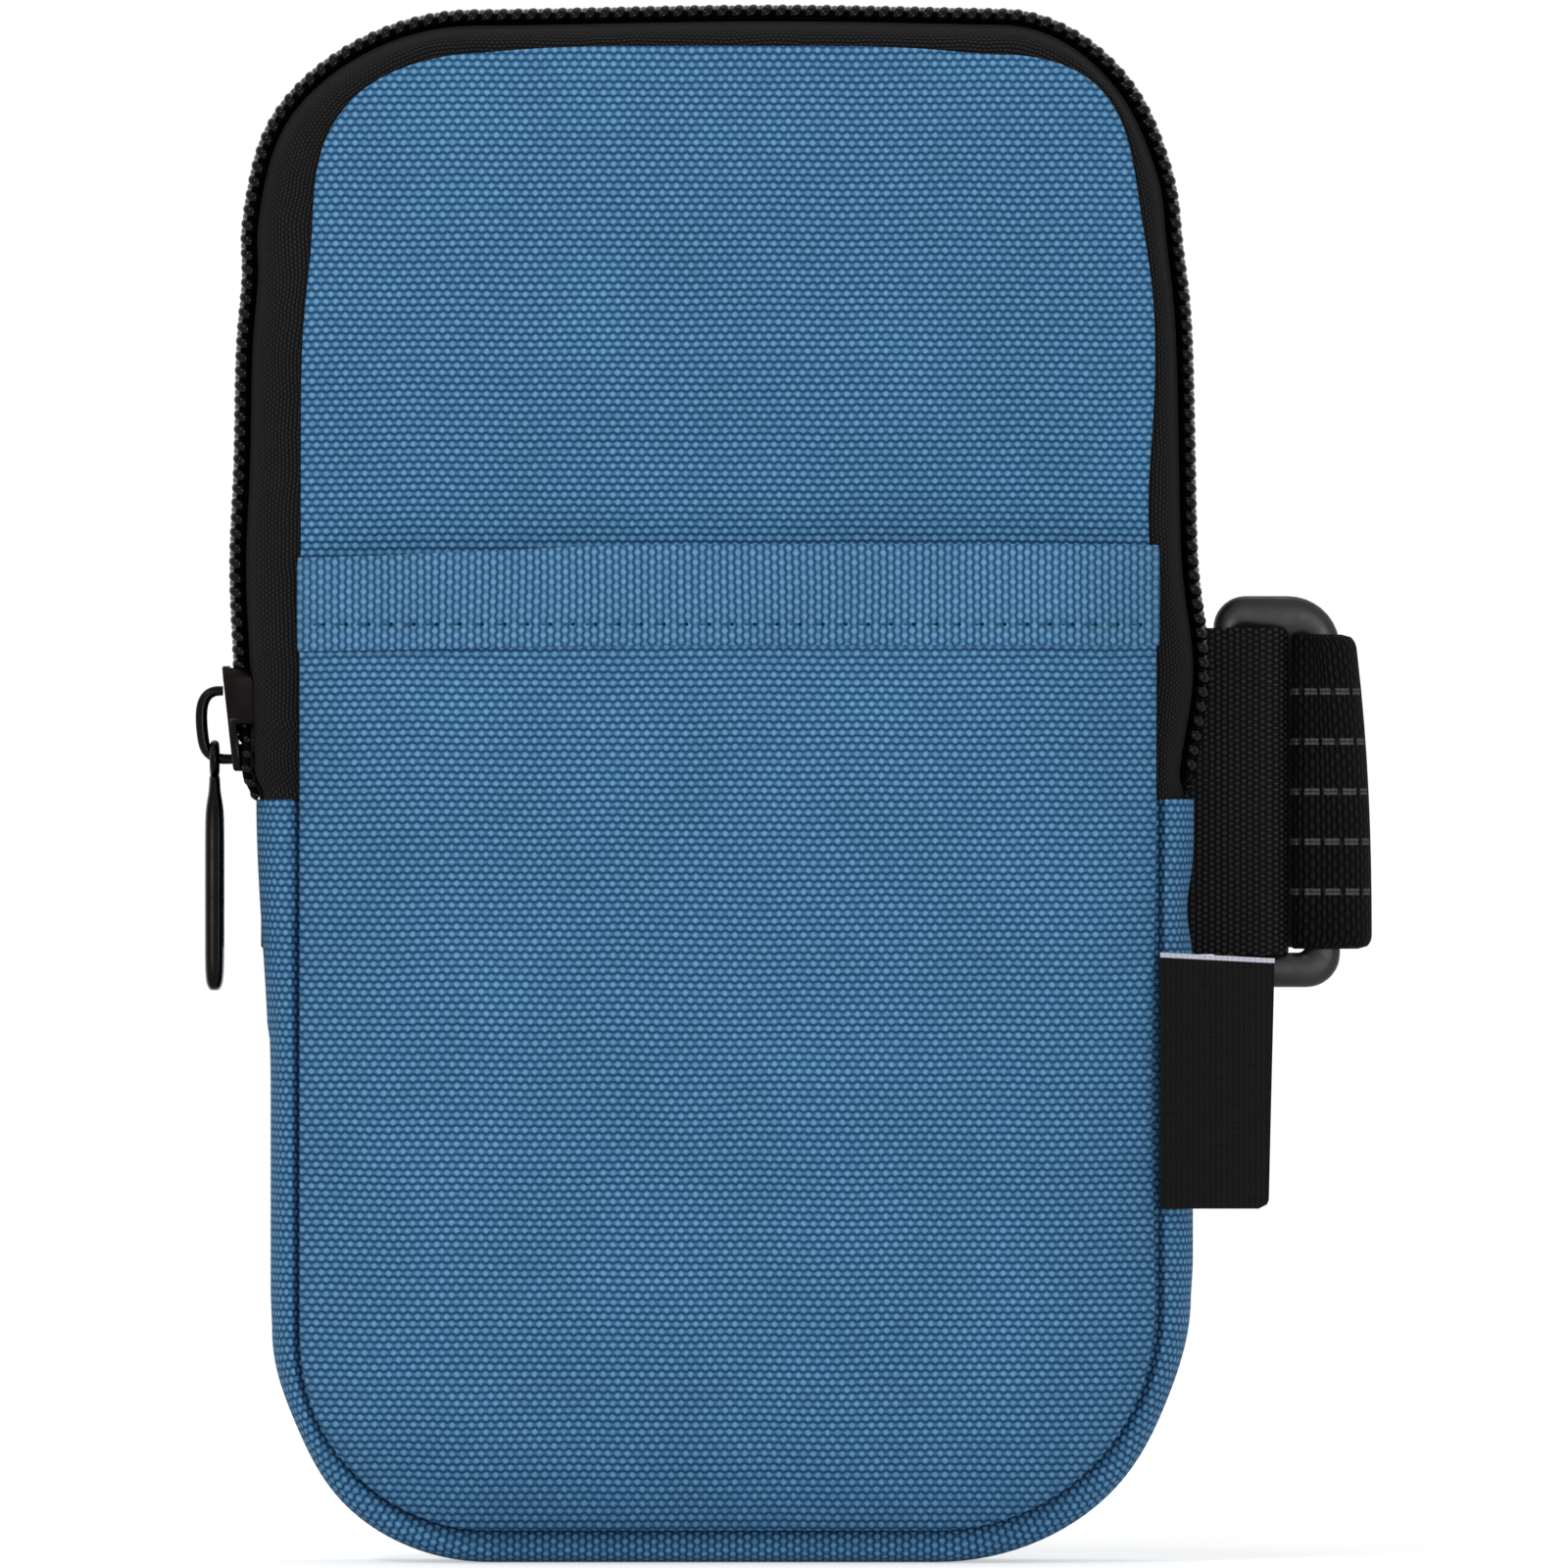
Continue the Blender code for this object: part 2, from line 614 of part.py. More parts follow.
def build_half_chain(prefix, side, line, first_tooth):
    """One row of coil teeth on its heel, meshing with the other row across the centre line."""
    tooth_length = TOOTH_PITCH / 2 - GAP
    whole = line[1][-1]
    count = int((whole - first_tooth - tooth_length) / TOOTH_PITCH) + 1
    marks = [0.0] if first_tooth else []
    for index in range(count):
        start = first_tooth + index * TOOTH_PITCH
        marks += [start, start + tooth_length]
    marks.append(whole)
    rings = []
    for mark in marks:
        place = place_at(line, mark)
        outer = CHAIN_HALF_WIDTH + parting(place)
        inner = outer - HEEL_WIDTH
        top = zip_bulge(place)
        section = [(inner, top - CHAIN_HEIGHT), (inner, top), (outer, top), (outer, top - CHAIN_HEIGHT)]
        rings.append(swept(place, [(side * depth, rise) for depth, rise in section]))
    mesh, grown = loft_mesh(rings)
    skip = 1 if first_tooth else 0
    roots = []
    for index in range(count):
        near = grown[skip + 2 * index]
        far = grown[skip + 2 * index + 1]
        roots.append(mesh.faces.get((near[0], near[1], far[1], far[0])))
    bmesh.ops.recalc_face_normals(mesh, faces=mesh.faces)
    tips = bmesh.ops.extrude_discrete_faces(mesh, faces=roots)["faces"]
    for tip in tips:
        middle = tip.calc_center_median()
        for vert in tip.verts:
            vert.co = middle + (vert.co - middle) * TOOTH_TIP_SHARE
            vert.co.y -= side * TOOTH_REACH
    make_object("zip_chain_" + prefix, mesh, "black_coil")


def build_zip():
    """Both tapes and both rows of teeth."""
    line = chain_line()
    for prefix, side, first_tooth in (("front", -1, 0.0), ("back", 1, TOOTH_PITCH / 2)):
        build_tape(prefix, side)
        build_half_chain(prefix, side, line, first_tooth)


# Slider, bail and pull

def outline_block(name, half_outline, low_x, high_x, finish=None):
    """Block whose mirrored (depth, height) outline is extruded along X."""
    outline = half_outline + [(-depth, z) for depth, z in reversed(half_outline) if depth]
    rings = [[Vector((x, depth, z)) for depth, z in outline] for x in (low_x, high_x)]
    if finish:
        return loft(name, rings, finish)
    return cutter(name, loft_mesh(rings)[0])


def build_slider():
    """Body with two plates, flanges beside the closed chain and a diamond between the open halves."""
    half = [
        (NOSE_HALF_WIDTH - SLIDER_CORNER, SLIDER_BOTTOM),
        (NOSE_HALF_WIDTH, SLIDER_BOTTOM + SLIDER_CORNER),
        (NOSE_HALF_WIDTH, slider_height(THROAT_SHARE)),
        (TAIL_HALF_WIDTH, slider_height(SHOULDER_SHARE)),
        (TAIL_HALF_WIDTH, SLIDER_TOP - SLIDER_CORNER),
        (TAIL_HALF_WIDTH - SLIDER_CORNER, SLIDER_TOP),
    ]
    body = outline_block("slider_body", half, PLATE_FACE, CHANNEL_IN + SLIDER_PLATE, "gunmetal")
    round_edges(body, SLIDER_EDGE_ROUND, 2, 40)
    inside = CHAIN_HALF_WIDTH + GAP
    channel = [
        (DIAMOND_HALF_WIDTH, SLIDER_BOTTOM - OVERRUN),
        (NOSE_HALF_WIDTH + OVERRUN, SLIDER_BOTTOM - OVERRUN),
        (NOSE_HALF_WIDTH + OVERRUN, slider_height(THROAT_SHARE)),
        (inside, slider_height(SHOULDER_SHARE)),
        (inside, SLIDER_TOP + OVERRUN),
    ]
    mirrored = [(-depth, z) for depth, z in reversed(channel)]
    diamond = [
        (-DIAMOND_HALF_WIDTH, slider_height(NOSE_SHARE)),
        (-DIAMOND_WAIST, slider_height(DIAMOND_WAIST_SHARE)),
        (0.0, slider_height(DIAMOND_SHARE)),
        (DIAMOND_WAIST, slider_height(DIAMOND_WAIST_SHARE)),
        (DIAMOND_HALF_WIDTH, slider_height(NOSE_SHARE)),
    ]
    outline = channel + mirrored + diamond
    rings = [[Vector((x, depth, z)) for depth, z in outline] for x in (CHANNEL_OUT, CHANNEL_IN)]
    subtract(body, cutter("slider_channel", loft_mesh(rings)[0]))
    slot_low = CHAIN_FACE + TAPE_DROP - GAP
    reach = NOSE_HALF_WIDTH + OVERRUN
    for side in (-1, 1):
        mesh = bmesh.new()
        bmesh.ops.create_cube(mesh, size=1.0)
        size = (CHANNEL_IN - slot_low, reach - CHAIN_HALF_WIDTH, SLIDER_LENGTH + 2 * OVERRUN)
        bmesh.ops.scale(mesh, verts=mesh.verts, vec=size)
        middle = ((CHANNEL_IN + slot_low) / 2, side * (reach + CHAIN_HALF_WIDTH) / 2, slider_height(0.5))
        bmesh.ops.translate(mesh, verts=mesh.verts, vec=middle)
        subtract(body, cutter("tape_slot_" + ("front" if side < 0 else "back"), mesh))
    return body


def build_bail():
    """Bent wire arch that stands on the slider's outer plate."""
    foot = PLATE_FACE - GAP
    lower = arc(PULL_X, LOWER_LEG_Z + BAIL_BEND, BAIL_BEND, 270, 180, BAIL_BEND_STEPS)
    upper = arc(PULL_X, UPPER_LEG_Z - BAIL_BEND, BAIL_BEND, 180, 90, BAIL_BEND_STEPS)
    points = [(foot, LOWER_LEG_Z)] + lower + upper + [(foot, UPPER_LEG_Z)]
    curve = bpy.data.curves.new("slider_bail", "CURVE")
    curve.dimensions = "3D"
    curve.bevel_depth = BAIL_WIRE / 2
    curve.bevel_resolution = 2
    curve.use_fill_caps = True
    spline = curve.splines.new("POLY")
    spline.points.add(len(points) - 1)
    for point, (x, z) in zip(spline.points, points):
        point.co = (x, 0.0, z, 1.0)
    piece = bpy.data.objects.new("slider_bail", curve)
    bpy.context.scene.collection.objects.link(piece)
    dress(piece, "gunmetal")
    return piece


def build_pull():
    """Tab with a grooved edge and an eye that turns on the bail's lower bend."""
    top = LOWER_LEG_Z + EYE_HOLE / 2 + EYE_RIM
    rings = []
    for down, width_share, thick_share in PULL_PLAN_SHARES:
        half = TAB_HALF_WIDTH * width_share
        thick = (EYE_THICKNESS + (TAB_THICKNESS - EYE_THICKNESS) * thick_share) / 2
        z = top - PULL_LENGTH * down
        groove = TAB_GROOVE * thick_share
        quarter = [
            (thick, half - TAB_CHAMFER),
            (thick - TAB_CHAMFER, half),
            (TAB_GROOVE / 2, half),
        ]
        outline = quarter + [(0.0, half - groove)] + [(-x, y) for x, y in reversed(quarter)]
        outline += [(-x, -y) for x, y in outline]
        rings.append([Vector((PULL_X + x, y, z)) for x, y in outline])
    axis = (PULL_X, 0.0, LOWER_LEG_Z + BAIL_BEND)
    pull = loft("pull_tab", rings, "gunmetal", origin=axis)
    mesh = bmesh.new()
    bmesh.ops.create_cone(
        mesh, cap_ends=True, segments=EYE_HOLE_SIDES, radius1=EYE_HOLE / 2, radius2=EYE_HOLE / 2,
        depth=TAB_THICKNESS + 2 * OVERRUN,
    )
    turn = Vector((0.0, 0.0, 1.0)).rotation_difference(Vector((1.0, 0.0, 0.0))).to_matrix()
    bmesh.ops.rotate(mesh, verts=mesh.verts, matrix=turn)
    bmesh.ops.translate(mesh, verts=mesh.verts, vec=(PULL_X, 0.0, LOWER_LEG_Z))
    subtract(pull, cutter("eye_hole", mesh))


# Slip pocket

def pocket_depth(x, z):
    """Inner face of the pocket cloth in front of the seam plane."""
    inset = rim_distance(x, min(z, POCKET_TOP))
    lift = eased((z - POCKET_LIFT_START) / (POCKET_TOP - MOUTH_BINDING_HEIGHT - POCKET_LIFT_START))
    base = PANEL_FACE + GAP + (MOUTH_BINDING + GAP) * lift
    return base + crowned(inset) + POCKET_ROOM * crown(inset, POCKET_REACH)


def pocket_columns(z):
    """Places across the pocket at one height."""
    if z < PANEL_BOTTOM + BOTTOM_LEFT_RADIUS:
        below = PANEL_BOTTOM + BOTTOM_LEFT_RADIUS - z
        reach = math.sqrt(max(BOTTOM_LEFT_RADIUS ** 2 - below ** 2, 0.0))
        left = -PANEL_LEFT + BOTTOM_LEFT_RADIUS - reach
    else:
        left = -PANEL_LEFT
    if z < PANEL_BOTTOM + BOTTOM_RIGHT_RADIUS:
        below = PANEL_BOTTOM + BOTTOM_RIGHT_RADIUS - z
        reach = math.sqrt(max(BOTTOM_RIGHT_RADIUS ** 2 - below ** 2, 0.0))
        right = PANEL_RIGHT - BOTTOM_RIGHT_RADIUS + reach
    else:
        right = PANEL_RIGHT
    insets = POCKET_INSETS
    return [left + inset for inset in insets] + [right - inset for inset in reversed(insets)]


def build_pocket():
    """Pocket cloth, bound along its mouth."""
    rings = []
    for share in POCKET_ROW_SHARES:
        z = PANEL_BOTTOM + (POCKET_TOP - PANEL_BOTTOM) * share
        columns = pocket_columns(z)
        outer = [Vector((x, -pocket_depth(x, z) - POCKET_CLOTH, z)) for x in columns]
        inner = [Vector((x, -pocket_depth(x, z), z)) for x in columns]
        rings.append(outer + inner[::-1])
    loft("pocket_panel", rings, "blue_polyester")

    low = POCKET_TOP - MOUTH_BINDING_HEIGHT + GAP + MOUTH_BINDING
    high = POCKET_TOP + GAP
    rings = []
    for x in pocket_columns(POCKET_TOP):
        cloth_in = -pocket_depth(x, POCKET_TOP)
        front = cloth_in - POCKET_CLOTH - GAP
        back = cloth_in + GAP
        section = [
            (front, low), (front - MOUTH_BINDING, low), (front - MOUTH_BINDING, high + MOUTH_BINDING),
            (back + MOUTH_BINDING, high + MOUTH_BINDING), (back + MOUTH_BINDING, low), (back, low),
            (back, high), (front, high),
        ]
        rings.append([Vector((x, y, z)) for y, z in section])
    loft("pocket_binding", rings, "blue_binding")


# Strap

def strap_band(name, path, width, thickness, finish):
    """Flat band of even thickness that stands on a path seen from above."""
    low = STRAP_MIDDLE - width / 2
    high = STRAP_MIDDLE + width / 2
    near = moved_line(path, thickness / 2)
    far = moved_line(path, -thickness / 2)
    rings = []
    for one, two in zip(near, far):
        rings.append([Vector((*one, low)), Vector((*two, low)), Vector((*two, high)), Vector((*one, high))])
    return loft(name, rings, finish)


def build_webbing():
    """Webbing that leaves the back seam, goes round the buckle's middle bar and is sewn to itself."""
    front = BUCKLE_Y - WEBBING_LAYER
    back = BUCKLE_Y + WEBBING_LAYER
    start = PANEL_RIGHT + SEAM_SIDE
    path = [(start, front), (BUCKLE_LEFT, front)]
    path += arc(CENTRE_BAR_X, BUCKLE_Y, WEBBING_LAYER, 270, 450, 10)
    path.append((BUCKLE_LEFT - GAP, back))
    sewn = front + WEBBING_THICKNESS + GAP
    path.append((BUCKLE_LEFT - WEBBING_SLOPE, sewn))
    path.append((BUCKLE_LEFT - WEBBING_SLOPE - WEBBING_SEWN, sewn))
    strap_band("webbing_tab", path, WEBBING_WIDTH, WEBBING_THICKNESS, "black_webbing")


def slot_mesh(left, width):
    """Slot through the buckle with rounded corners."""
    centre = left + width / 2
    rings = []
    for y in (BUCKLE_Y - BUCKLE_THICKNESS / 2 - OVERRUN, BUCKLE_Y + BUCKLE_THICKNESS / 2 + OVERRUN):
        rings.append([Vector((x, y, z)) for x, z in
                      rounded_box(centre, STRAP_MIDDLE, width, SLOT_LENGTH, SLOT_CORNER)])
    return loft_mesh(rings)[0]


def rounded_box(centre_x, centre_z, width, height, radius):
    """Outline of a rectangle with round corners."""
    points = []
    for across, up, start in ((-1, -1, 180), (1, -1, 270), (1, 1, 0), (-1, 1, 90)):
        corner_x = centre_x + across * (width / 2 - radius)
        corner_z = centre_z + up * (height / 2 - radius)
        points += arc(corner_x, corner_z, radius, start, start + 90, 4)
    return points


def build_buckle():
    """Three-bar slide with rounded bars."""
    centre = BUCKLE_LEFT + BUCKLE_WIDTH / 2
    outline = rounded_box(centre, STRAP_MIDDLE, BUCKLE_WIDTH, BUCKLE_LENGTH, BUCKLE_CORNER)
    rings = []
    for y in (BUCKLE_Y - BUCKLE_THICKNESS / 2, BUCKLE_Y + BUCKLE_THICKNESS / 2):
        rings.append([Vector((x, y, z)) for x, z in outline])
    buckle = loft("slide_buckle", rings, "black_plastic", origin=(CENTRE_BAR_X, BUCKLE_Y, STRAP_MIDDLE))
    left = BUCKLE_LEFT + OUTER_BAR
    subtract(buckle, cutter("left_slot", slot_mesh(left, LEFT_SLOT)))
    left += LEFT_SLOT + CENTRE_BAR
    subtract(buckle, cutter("right_slot", slot_mesh(left, RIGHT_SLOT)))
    round_edges(buckle, BUCKLE_ROUND, 3, 50)


def build_elastic():
    """Elastic from the back left seam round behind, through the buckle and back along its outside."""
    rear = BUCKLE_Y + ELASTIC_LAYER
    front = BUCKLE_Y - ELASTIC_LAYER
    seam_x = -PANEL_LEFT - SEAM_SIDE
    left_x = seam_x - LOOP_LEFT_TURN - ELASTIC_THICKNESS / 2
    centre_x = (left_x + LOOP_SPAN_RIGHT) / 2
    radius = (LOOP_SPAN_RIGHT - left_x) / 2
    centre_y = rear + LOOP_RISE

    seam_y = PANEL_INNER + ELASTIC_THICKNESS / 2
    path = [(seam_x, seam_y)]
    path += arc(left_x + LOOP_LEFT_TURN, seam_y + LOOP_LEFT_TURN, LOOP_LEFT_TURN, 270, 180, 6)
    path += arc(centre_x, centre_y, radius, 180, 0, LOOP_STEPS)
    path += arc(WRAP_X, rear + LOOP_RISE, LOOP_RISE, 0, -90, 5)[1:]
    path += arc(WRAP_X, BUCKLE_Y, ELASTIC_LAYER, 90, 270, 10)[1:]
    turn_x = LOOP_SPAN_RIGHT + TAIL_OFFSET
    path += arc(turn_x - ELASTIC_TURN, front + ELASTIC_TURN, ELASTIC_TURN, 270, 360, 7)
    tail = radius + TAIL_OFFSET
    path += arc(centre_x, centre_y, tail, 0, TAIL_TURN_DEGREES, 10)
    strap_band("elastic_strap", path, ELASTIC_WIDTH, ELASTIC_THICKNESS, "black_elastic")

    loop_radius = radius + ELASTIC_THICKNESS / 2 + GAP + PATCH_THICKNESS / 2
    patch_width = ELASTIC_WIDTH - 2 * OVERRUN
    hook_radius = loop_radius + PATCH_THICKNESS + GAP
    for name, patch_radius in (("loop_patch", loop_radius), ("hook_patch", hook_radius)):
        path = arc(centre_x, centre_y, patch_radius, *PATCH_TURN_DEGREES, 6)
        strap_band(name, path, patch_width, PATCH_THICKNESS, "black_elastic")


def build_label():
    """Woven label sewn into the right front seam, with one round lower corner."""
    left = PANEL_RIGHT + SEAM_SIDE
    right = left + LABEL_WIDTH
    low = LABEL_TOP - LABEL_HEIGHT
    outline = [(left, LABEL_TOP), (left, low)]
    outline += arc(right - LABEL_CORNER, low + LABEL_CORNER, LABEL_CORNER, 270, 360, LABEL_CORNER_STEPS)
    outline.append((right, LABEL_TOP))
    near = -PANEL_INNER
    rings = [[Vector((x, y, z)) for x, z in outline] for y in (near, near - LABEL_THICKNESS)]
    loft("side_label", rings, "woven_label")


def main():
    """Build the whole pouch in an emptied scene."""
    for piece in list(bpy.data.objects):
        bpy.data.objects.remove(piece)
    for prefix, side in (("front", -1), ("back", 1)):
        build_panel(prefix, side)
    build_strip()
    build_pocket()
    build_zip()
    build_slider()
    build_bail()
    build_pull()
    build_webbing()
    build_buckle()
    build_elastic()
    build_label()


main()
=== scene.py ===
"""Dressed bottle pouch: padded cloth panels, slip pocket, coil zip, label and bottle strap."""

import math

import bmesh
import bpy
from bpy.props import FloatProperty, FloatVectorProperty, PointerProperty
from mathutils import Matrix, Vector


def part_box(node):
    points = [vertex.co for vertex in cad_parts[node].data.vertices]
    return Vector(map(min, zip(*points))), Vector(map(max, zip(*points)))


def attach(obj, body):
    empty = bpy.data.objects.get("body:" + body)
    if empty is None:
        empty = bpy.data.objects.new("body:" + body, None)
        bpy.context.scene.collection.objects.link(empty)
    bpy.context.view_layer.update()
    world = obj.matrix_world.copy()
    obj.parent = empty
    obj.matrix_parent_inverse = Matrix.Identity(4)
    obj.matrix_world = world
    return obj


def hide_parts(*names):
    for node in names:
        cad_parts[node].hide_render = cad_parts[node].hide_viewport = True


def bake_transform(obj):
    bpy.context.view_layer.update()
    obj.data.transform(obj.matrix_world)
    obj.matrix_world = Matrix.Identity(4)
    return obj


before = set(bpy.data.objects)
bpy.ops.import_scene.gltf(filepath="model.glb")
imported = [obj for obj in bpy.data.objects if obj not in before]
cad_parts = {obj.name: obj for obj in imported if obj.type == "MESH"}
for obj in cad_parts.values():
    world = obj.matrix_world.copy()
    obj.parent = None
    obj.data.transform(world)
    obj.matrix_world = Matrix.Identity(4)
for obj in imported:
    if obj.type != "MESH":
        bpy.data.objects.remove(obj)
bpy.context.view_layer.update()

bl_info = {
    "name": "Zipped Bottle Pouch",
    "version": (1, 0, 0),
    "blender": (4, 5, 0),
    "location": "View3D > Sidebar > Pouch",
    "description": "Dresses the packed solids of a padded, zipped pouch with a bottle strap",
    "category": "Add Mesh",
}

MM = 0.001


# Settings that a user may change

def linear(level):
    """Scene value of an 8-bit screen level."""
    share = level / 255
    return share / 12.92 if share <= 0.04045 else ((share + 0.055) / 1.055) ** 2.4


def length(label, what, size):
    """Length setting given in millimetres."""
    return FloatProperty(
        name=label, description=what, default=size * MM, unit="LENGTH", precision=5,
    )


def colour(label, what, *levels):
    """Colour setting given as screen levels."""
    value = [linear(level) for level in levels] + [1.0]
    return FloatVectorProperty(name=label, description=what, default=value, size=4, subtype="COLOR")


class PouchBody(bpy.types.PropertyGroup):
    """Outline and layers of the two padded panels."""

    left: length("Left edge", "Panel edge left of the centre line", 50.3)
    right: length("Right edge", "Panel edge right of the centre line", 50.4)
    bottom: length("Bottom edge", "Height of the panels' bottom edge", 4.0)
    top: length("Top edge", "Height of the panels' top edge", 178.4)
    top_left: length("Top left radius", "Corner radius", 20.0)
    top_right: length("Top right radius", "Corner radius", 18.0)
    bottom_left: length("Bottom left radius", "Corner radius", 22.2)
    bottom_right: length("Bottom right radius", "Corner radius", 25.8)
    shoulder_left: length("Left shoulder", "How far the left edge draws in near the top", 1.4)
    shoulder_right: length("Right shoulder", "How far the right edge draws in near the top", 2.2)
    shoulder_left_height: length("Left shoulder height", "Height of its middle", 158.5)
    shoulder_right_height: length("Right shoulder height", "Height of its middle", 163.5)
    shoulder_spread: length("Shoulder spread", "Reach of a shoulder up and down", 10.5)
    droop: length("Droop", "How much lower the top edge lies near its corners", 1.05)
    waist: length("Waist", "How far the right edge draws in above the pocket", 0.9)
    face: length("Face depth", "Outer cloth at the rim in front of the middle", 10.05)
    roll: length("Rolled edge", "Radius of the cloth turned into the seam", 0.9)
    crown: length("Crown", "How far the padding stands proud of the rim", 2.8)
    crown_reach: length("Crown reach", "Width of the rounding inside the rim", 20.0)
    lining: length("Lining depth", "Lining in front of the middle", 8.45)
    lining_inset: length("Lining inset", "Lining inside the panel's edge", 1.3)


class PouchPocket(bpy.types.PropertyGroup):
    """Slip pocket and its bound mouth."""

    proud: length("Proud edge", "Pocket cloth outside the panel's edge", 0.1)
    room: length("Room", "Depth of the pocket", 5.6)
    reach: length("Reach", "Width of the rounding at its sides", 14.0)
    lift_start: length("Lift start", "Height where the cloth lifts to the binding", 80.0)
    lift: length("Lift", "Thickness of the binding behind the cloth", 0.8)
    cloth: length("Cloth", "Thickness of the pocket cloth", 0.5)
    band_bottom: length("Band bottom", "Lower edge of the mouth band", 107.1)
    band_top: length("Band top", "Upper edge of the mouth band", 118.2)
    band_rise: length("Band rise", "How much higher the band runs right of its left end", 1.5)
    band_proud: length("Band thickness", "Band in front of the pocket cloth", 0.5)
    stitch_height: length("Stitch height", "Height of the stitch line", 110.3)
    stitch_pitch: length("Stitch pitch", "Length of one stitch", 2.66)
    stitch_thread: length("Stitch thread", "Thread thickness", 0.28)


class PouchStrip(bpy.types.PropertyGroup):
    """Strip round the lower sides and the bottom."""

    top: length("Top", "Height of the strip's folded ends", 89.8)
    edge: length("Edge depth", "Strip edge in front of the middle", 8.85)
    thickness: length("Thickness", "Cloth and lining", 1.4)
    bottom: length("Bottom bulge", "Bulge under the pouch", 4.0)
    pinch: length("Corner pinch", "How much flatter the strip is above a corner", 0.95)
    left: length("Left bulge", "Bulge at the left", 3.6)
    right: length("Right bulge", "Bulge at the right", 4.4)
    end: length("Left end bulge", "Bulge at the left folded end", 5.1)
    end_right: length("Right end bulge", "Bulge at the right folded end", 4.5)
    taper: length("End taper", "Length over which the bulge changes", 34.0)
    fold: length("Fold", "Length of the turned-in end", 27.5)


class PouchZip(bpy.types.PropertyGroup):
    """Zip round the top: tapes, coil and slider."""

    left: length("Left bulge", "Coil face outside the panels at the left", 7.9)
    right: length("Right bulge", "Coil face outside the panels at the right", 4.3)
    top: length("Top bulge", "Coil face above the panels", 4.6)
    left_pinch: length("Left pinch", "How much flatter the zip is round the left corner", 0.7)
    right_pinch: length("Right pinch", "How much flatter the zip is round the right corner", 1.1)
    arch: length("Arch", "Rise of the zip over the middle", 0.65)
    end: length("End bulge", "Coil face at the lower right end", 5.3)
    left_end: length("Left end bulge", "Coil face at the lower left end", 6.8)
    end_taper: length("End taper", "Length over which the bulge grows", 3.0)
    swell: length("Swell", "Extra bulge at the right beside the strap", 1.8)
    swell_height: length("Swell height", "Height of its middle", 104.5)
    swell_spread: length("Swell spread", "Reach of the swell", 9.5)
    bottom: length("Bottom", "Height of the zip's lower ends", 90.1)
    pitch: length("Pitch", "Length of one coil turn", 1.73)
    wire: length("Wire", "Thickness of the coil's wire", 1.0)
    height: length("Coil height", "Coil from tape to face", 2.2)
    half_width: length("Half width", "Coil from the centre line to its heel", 3.0)
    tape_drop: length("Tape drop", "Tape face under the coil's face", 2.5)
    tape: length("Tape thickness", "Thickness of the tape", 0.6)
    parting: length("Parting", "How far each half moves aside under the slider", 3.2)
    parting_length: length("Parting length", "Length over which the halves part", 4.6)
    shoulder: length("Slider shoulder", "Height where the halves start to part", 99.3)
    slider_lean: length("Slider lean", "How far the slider's lower end leans in", 1.4)
    bail_wire: length("Bail wire", "Thickness of the bail", 1.35)


class PouchStrap(bpy.types.PropertyGroup):
    """Webbing, elastic and label at the sides."""

    middle: length("Middle", "Height of the strap's centre line", 90.7)
    webbing_lift: length("Webbing lift", "Webbing above the centre line", 0.05)
    webbing_width: length("Webbing width", "Width of the webbing", 38.6)
    webbing: length("Webbing thickness", "Thickness of the webbing", 1.2)
    slack: length("Slack", "Webbing's play on the bar", 0.7)
    elastic_width: length("Elastic width", "Width of the elastic", 37.2)
    elastic: length("Elastic thickness", "Thickness of the elastic", 1.4)
    left_turn: length("Left turn", "Radius where the elastic leaves the seam", 3.2)
    rise: length("Rise", "Radius where it comes to the buckle", 1.8)
    fold: length("Fold", "Radius of the fold beside the buckle", 4.0)
    patch: length("Patch", "Thickness of hook and loop patches", 0.9)
    line_pitch: length("Grip line spacing", "Distance between grip lines", 5.92)
    dash_pitch: length("Dash pitch", "Length of a dash and its gap", 2.2)
    lean: length("Lean", "How far the fold leans in at its top", 2.0)
    label_width: length("Label width", "Label from the seam to its free edge", 13.45)
    label_slant: length("Label slant", "How far its edges run off square", 0.7)
    label_height: length("Label height", "Height of the label", 30.1)
    label_top: length("Label top", "Height of its upper edge", 71.8)
    label: length("Label thickness", "Both layers of the folded label", 0.7)


class PouchCloth(bpy.types.PropertyGroup):
    """Threads and colours of the cloths."""

    warp: length("Thread across", "Spacing of the upright threads", 0.572)
    weft: length("Thread up", "Spacing of the level threads", 0.845)
    # Each light colour is a thread's own colour with painted light on its top; each dark colour is
    # the same thread in painted shade between the threads.
    cloth_light: colour("Cloth light", "Top of a blue thread", 110, 166, 208)
    cloth_dark: colour("Cloth dark", "Between blue threads", 20, 70, 112)
    band_light: colour("Band light", "Top of a band thread", 112, 164, 206)
    band_dark: colour("Band dark", "Between band threads", 28, 78, 118)
    webbing_light: colour("Webbing light", "Top of a webbing thread", 55, 55, 57)
    black_light: colour("Black light", "Top of a black thread", 31, 31, 32)
    black_dark: colour("Black dark", "Between black threads", 1, 1, 2)
    tape_light: colour("Tape light", "Top of a tape thread", 44, 43, 44)
    tape_dark: colour("Tape dark", "Between tape threads", 6, 6, 7)
    grip: colour("Grip line", "Woven grip thread", 86, 86, 87)
    lining: colour("Lining", "Lining cloth", 40, 52, 66)
    pale: colour("Pale thread", "Pale thread of the label", 214, 214, 230)


